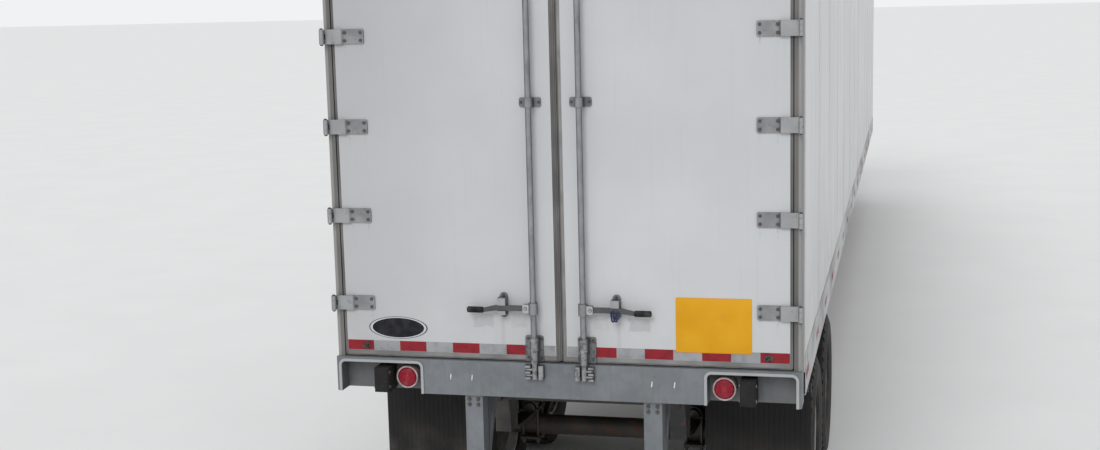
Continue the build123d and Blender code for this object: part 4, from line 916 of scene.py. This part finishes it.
# Leaf springs, axles, brake chambers and air tank: rolled and pressed steel, painted or oiled black,
# and brown with rust and road film.
spring = Finish("spring steel", metallic=0.1, specular=0.3)
spring_rust = spring.cloud(15, 6).fade(0.5, 0.68)
tone = spring.cloud(4, 3).blend((0.034, 0.033, 0.032), (0.070, 0.064, 0.057))
tone = (spring_rust * 0.7).blend(tone, (0.13, 0.062, 0.036))
film_of_road = spring.cloud(3.5, 5).fade(0.45, 0.75)
spring.color((film_of_road * 0.4).blend(tone, (0.16, 0.14, 0.115)))
spring.rough(0.5 + spring_rust * 0.35)
spring.bump(spring.cloud(60, 4), 0.0006)
dress(spring, "leaf_springs", "axles", "air_tank", "brake_chambers")

# U-bolts: two round bars over each spring pack, drawn down on a curved top pad by hexagon nuts under
# the axle plate.


def bar(middle, axis, radius, length, edge, sides=24):
    """A round or many-sided bar along an axis with its end edges rounded."""
    shape = {"vertices": sides, "radius": radius, "depth": length, "rotation": turns[axis]}
    piece = start(bpy.ops.mesh.primitive_cylinder_add, location=middle, **shape)
    along = "xyz".index(axis)
    soften(piece, lambda centre, normal: abs(normal[along]) > 0.9, edge)
    return piece


def arch(along, radius, thick):
    """Half a ring of round bar that stands upright across the body, open below."""
    wire = {"vertices": 10, "radius": thick, "fill_type": "NGON"}
    piece = start(bpy.ops.mesh.primitive_circle_add, location=(radius, along, 0), **wire)
    sweep(14, pi, (0, along, 0), (0, 1, 0))
    return piece


axle_ys, axle_z, spring_x = (-6.677, -5.432), 0.508, 0.530
pad_z, plate_under_z, bolt_reach = 0.6295, 0.4285, 0.048


pad_radius, pad_long, bolt_gap = 0.0385, 0.186, 0.062
wire_radius, leg_below, nut_radius = 0.0095, 0.032, 0.0155
pad = bar((0, 0, 0), "y", pad_radius, pad_long, 0.004)
pick(pad, lambda centre, normal: True)
bpy.ops.mesh.bisect(plane_co=(0, 0, 0), plane_no=(0, 0, 1), use_fill=True, clear_inner=True)
leave()
kit = [pad]
to_plate = plate_under_z - pad_z
leg_low = to_plate - leg_below
for along in (-bolt_gap, bolt_gap):
    kit.append(arch(along, bolt_reach, wire_radius))
    for across in (-bolt_reach, bolt_reach):
        kit.append(bar((across, along, leg_low / 2), "z", wire_radius, -leg_low, 0.002, 10))
        kit.append(screw_head((across, along, to_plate), "z", nut_radius, -0.017))
places = [(sign * spring_x, y, pad_z) for sign in (-1, 1) for y in axle_ys]
fasten("u_bolts", "root", *copies(join("u_bolt_kit", *kit), places))

# Brake chambers: a clamp ring of folded steel holds the halves of each canister together, drawn up by a
# bolt.
chamber_ys, chamber_x, chamber_z = (-6.4785, -5.2335), 0.575, 0.4835
clamp_section = ((-10, 81.5), (-10, 86), (-5, 90.5), (5, 90.5), (10, 86), (10, 81.5))
rings = []
for y, sign in product(chamber_ys, (-1, 1)):
    rings.append(turned(clamp_section, 40, (sign * chamber_x, y, chamber_z), pi / 2))
    rings.append(screw_head((sign * chamber_x, y - 0.015, chamber_z + 0.094), "y", 0.009, 0.030))
fasten("chamber_rings", "root", *rings)

# Mud flaps: sheets of black rubber with moulded upright ribs, each hung from its bar by five bolts
# through a steel strip.
flap = Finish("flap rubber", specular=0.15)
flap_ribs = flap.out.near(0.984, 0.03).fade(0.002, 0.008)
splash_mud = flap.z.fade(0.8, 0.24) * flap.cloud(7, 5).fade(0.35, 0.7)
tone = flap.cloud(5, 4).blend((0.012, 0.012, 0.013), (0.032, 0.031, 0.030))
flap.color((splash_mud * 0.55).blend(tone, (0.14, 0.12, 0.10)))
flap.rough(0.6 + splash_mud * 0.3)
flap.bump(flap_ribs, 0.002)
dress(flap, "mud_flaps")
flap_back_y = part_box("mud_flaps")[0].y
strip_y = flap_back_y - 0.004
for side, sign in both_sides:
    strip = block((sign * 0.690, strip_y, 0.958), (sign * 1.278, flap_back_y, 0.992), 0.0012)
    bolts = [
        screw_head((sign * (0.734 + 0.125 * n), strip_y, 0.975), "y", 0.011, -0.007) for n in range(5)
    ]
    fasten(f"flap_strip_{side}", "root", strip, *bolts)

# Tyres: highway tyres for a trailer axle, four grooves round the tread, notched shoulder ribs, a plain
# side wall with a rim guard, and beads that sit in the rims. Each is turned from its section.
tyre_rubber = Finish("tyre rubber", specular=0.2)
tyre_dust = tyre_rubber.cloud(9, 5).fade(0.35, 0.75)
tyre_rubber.color(tyre_dust.blend((0.014, 0.014, 0.015), (0.056, 0.051, 0.045)))
tyre_rubber.rough(0.62 + tyre_dust * 0.25)
tyre_rubber.bump(tyre_rubber.cloud(120, 3), 0.0005)
half_section = (
    # millimetres across from the tyre's middle, millimetres from the axle
    (19, 507.7), (20.5, 495), (27.5, 495), (29, 507.4),
    (67, 506.4), (68.5, 494), (75.5, 494), (77, 505.9),
    (106, 503.9), (117, 500.6), (122, 492), (125, 480), (131, 466), (136.5, 448),
    (138.8, 444), (139.4, 438), (140.6, 424), (141, 402), (139.2, 374), (134.5, 348),
    (127.5, 327), (127.5, 321), (123, 315), (119, 308), (112, 301), (105, 294), (103.5, 287),
)
tyre_section = half_section[::-1] + tuple((-x, r) for x, r in half_section)
tyre_steps = 120
tyre = turned(tyre_section, tyre_steps)


def is_notch(centre, normal):
    step = int(atan2(centre.z, centre.y) % (2 * pi) / (2 * pi) * tyre_steps)
    return step % 3 == 0 and abs(centre.x) > 0.1065 and Vector((centre.y, centre.z)).length > 0.483


pick(tyre, is_notch)
bpy.ops.mesh.extrude_region_shrink_fatten(TRANSFORM_OT_shrink_fatten={"value": -0.007})
leave()
twin_x, wheel_x = 0.1715, 0.984
wheel_ends = [
    (f"{end}_{side}", sign, y) for end, y in zip(("rear", "front"), axle_ys) for side, sign in both_sides
]
tyres = copies(
    tyre, [(sign * wheel_x + across, y, axle_z) for _, sign, y in wheel_ends for across in (-twin_x, twin_x)]
)
for n, (name, _, _) in enumerate(wheel_ends):
    pair = fit(f"tread_{name}", f"{name}_wheel", tyre_rubber, "tyre_rubber", *tyres[2 * n : 2 * n + 2])
    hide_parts(f"tyres_{name}")

# Wheels: pressed steel discs welded into rims, painted white and dusted brown by the brakes, on cast
# hubs and drums. Ten nuts on studs hold each pair, and six screws the oil cap.


def circle(count, radius):
    """The places of so many pieces spread round a circle."""
    return [(radius * cos(2 * pi * n / count), radius * sin(2 * pi * n / count)) for n in range(count)]


wheel = Finish("wheel paint", specular=0.35)
wheel_dust = wheel.cloud(10, 5).fade(0.35, 0.7)
tone = wheel_dust.blend((0.50, 0.505, 0.51), (0.27, 0.245, 0.215))
from_axle = [(wheel.y - axle_y).diagonal(wheel.z - axle_z) for axle_y in axle_ys]
from_hub = from_axle[0].sum("MINIMUM", *from_axle)
hub_iron = from_hub.under(0.118) * wheel.out.over(0.996)
hub_iron = hub_iron + wheel.out.under(0.761) * from_hub.under(0.21)
iron = wheel.cloud(25, 5).fade(0.3, 0.7).blend((0.045, 0.040, 0.036), (0.12, 0.085, 0.06))
cap_face = from_hub.under(0.075) * wheel.out.over(1.165)
cap_metal = wheel.cloud(50, 3).blend((0.30, 0.30, 0.30), (0.42, 0.42, 0.42))
tone = hub_iron.blend(tone, iron)
wheel.color(cap_face.blend(tone, cap_metal))
wheel.rough(0.4 + wheel_dust * 0.3)
wheel.bump(wheel.cloud(60, 3), 0.0004)
dress(wheel, *[f"wheel_{name}" for name, _, _ in wheel_ends])
face_x, cap_x, nut_circle, screw_circle = 0.995, 1.196, 0.1429, 0.058


for name, sign, axle_y in wheel_ends:
    nuts = []
    for across, rise in circle(10, nut_circle):
        y, z = axle_y + across, axle_z + rise
        nuts.append(screw_head((sign * face_x, y, z), "x", 0.019, sign * 0.024))
        nuts.append(bar((sign * (face_x + 0.020), y, z), "x", 0.0105, 0.040, 0.002, 12))
    for across, rise in circle(6, screw_circle):
        nuts.append(screw_head((sign * cap_x, axle_y + across, axle_z + rise), "x", 0.0075, sign * 0.006))
    fasten(f"wheel_nuts_{name}", f"{name}_wheel", *nuts)

# Landing gear: square tubes of black painted steel with bolted heads, pinned to wide feet. The gear box on
# the road side's leg has a bearing boss round the crank's shaft and four screws in its cover.
dress(paint, "landing_legs")
landing_y, leg_x, leg_face, foot_pin_z = 4.463, 0.880, 0.100, 0.052
gear = []
for sign in (-1, 1):
    for across, z, face in product((-0.082, 0.082), (1.088, 1.118), (-1, 1)):
        spot = (sign * leg_x + across, landing_y + face * leg_face, z)
        gear.append(screw_head(spot, "y", 0.011, face * 0.008))
    gear.append(bar((sign * leg_x, landing_y, foot_pin_z), "x", 0.014, 0.150, 0.002, 14))
shaft_z, gear_box_x, kerb_leg_x = 0.980, -1.000, 0.940
boss_section = ((0, 17), (-12, 17), (-14, 19), (-14, 27), (-12, 30), (-5, 31), (-4, 42), (0, 43))
for boss_x, turn in ((gear_box_x, 0), (kerb_leg_x, pi)):
    gear.append(turned(boss_section, 32, (boss_x, landing_y, shaft_z), turn))
gear.append(screw_head((kerb_leg_x, landing_y, shaft_z), "x", 0.018, 0.012, 20))
for across, rise in product((-0.047, 0.047), (-0.070, 0.070)):
    gear.append(screw_head((gear_box_x, landing_y + across, shaft_z + rise), "x", 0.008, -0.006))
fasten("landing_bolts", "root", *gear)

# Coupler: a flat steel plate under the front of the floor, black with grease from the tractor's plate,
# round a forged pin.
greasy = Finish("greasy steel", metallic=0.3)
grease_film = greasy.cloud(5, 5).fade(0.35, 0.7)
greasy.color(grease_film.blend((0.12, 0.11, 0.10), (0.020, 0.019, 0.018)))
greasy.rough(0.5 - grease_film * 0.25)
greasy.bump(greasy.cloud(9, 4), 0.001)
dress(greasy, "coupler_plate", "kingpin")

# Nose box: a cast aluminium box with the electric socket and the two air couplings, one red and one
# blue as the lines are.
cast_box = Finish("cast box", metallic=0.3)
tone = cast_box.cloud(20, 4).blend((0.30, 0.305, 0.31), (0.42, 0.425, 0.43))
coupling = cast_box.y.over(8.1485) * cast_box.out.within(0.055, 0.135)
coupling_color = cast_box.x.over(0).blend((0.36, 0.018, 0.016), (0.018, 0.06, 0.26))
socket_face = cast_box.y.over(8.1485) * cast_box.out.under(0.04)
tone = (socket_face * 0.85).blend(tone, (0.02, 0.02, 0.02))
cast_box.color(coupling.blend(tone, coupling_color))
cast_box.rough(0.45 + cast_box.cloud(30, 3) * 0.2)
cast_box.bump(cast_box.cloud(70, 3), 0.0006)
dress(cast_box, "nose_box")
box_face_y, box_z, pin_y, coupling_x = 8.147, 1.5, 8.160, 0.095
screws = [
    screw_head((x, box_face_y, z), "y", 0.008, 0.005) for x, z in product((-0.128, 0.128), (1.412, 1.588))
]
screws.append(block((-0.013, box_face_y, 1.537), (0.013, 8.172, 1.549), 0.003))
screws.append(bar((0, pin_y, box_z), "y", 0.0042, 0.024, 0.001, 12))
for rise, across in circle(6, 0.0165):
    screws.append(bar((across, pin_y, box_z + rise), "y", 0.0032, 0.024, 0.001, 12))
fasten("nose_box_screws", "root", *screws)
ring_section = ((-3, 15), (-3, 20), (1.5, 20), (2.8, 18.5), (2.8, 16.5), (1.5, 15))
seals = []
for sign in (-1, 1):
    x = sign * coupling_x
    seals.append(turned(ring_section, 32, (x, 8.173, box_z), pi / 2))
    seals.append(block((x - 0.006, 8.166, box_z + 0.022), (x + 0.006, 8.1755, box_z + 0.040), 0.0015))
fit("coupling_rings", "root", grip_rubber, "black_rubber", *seals)
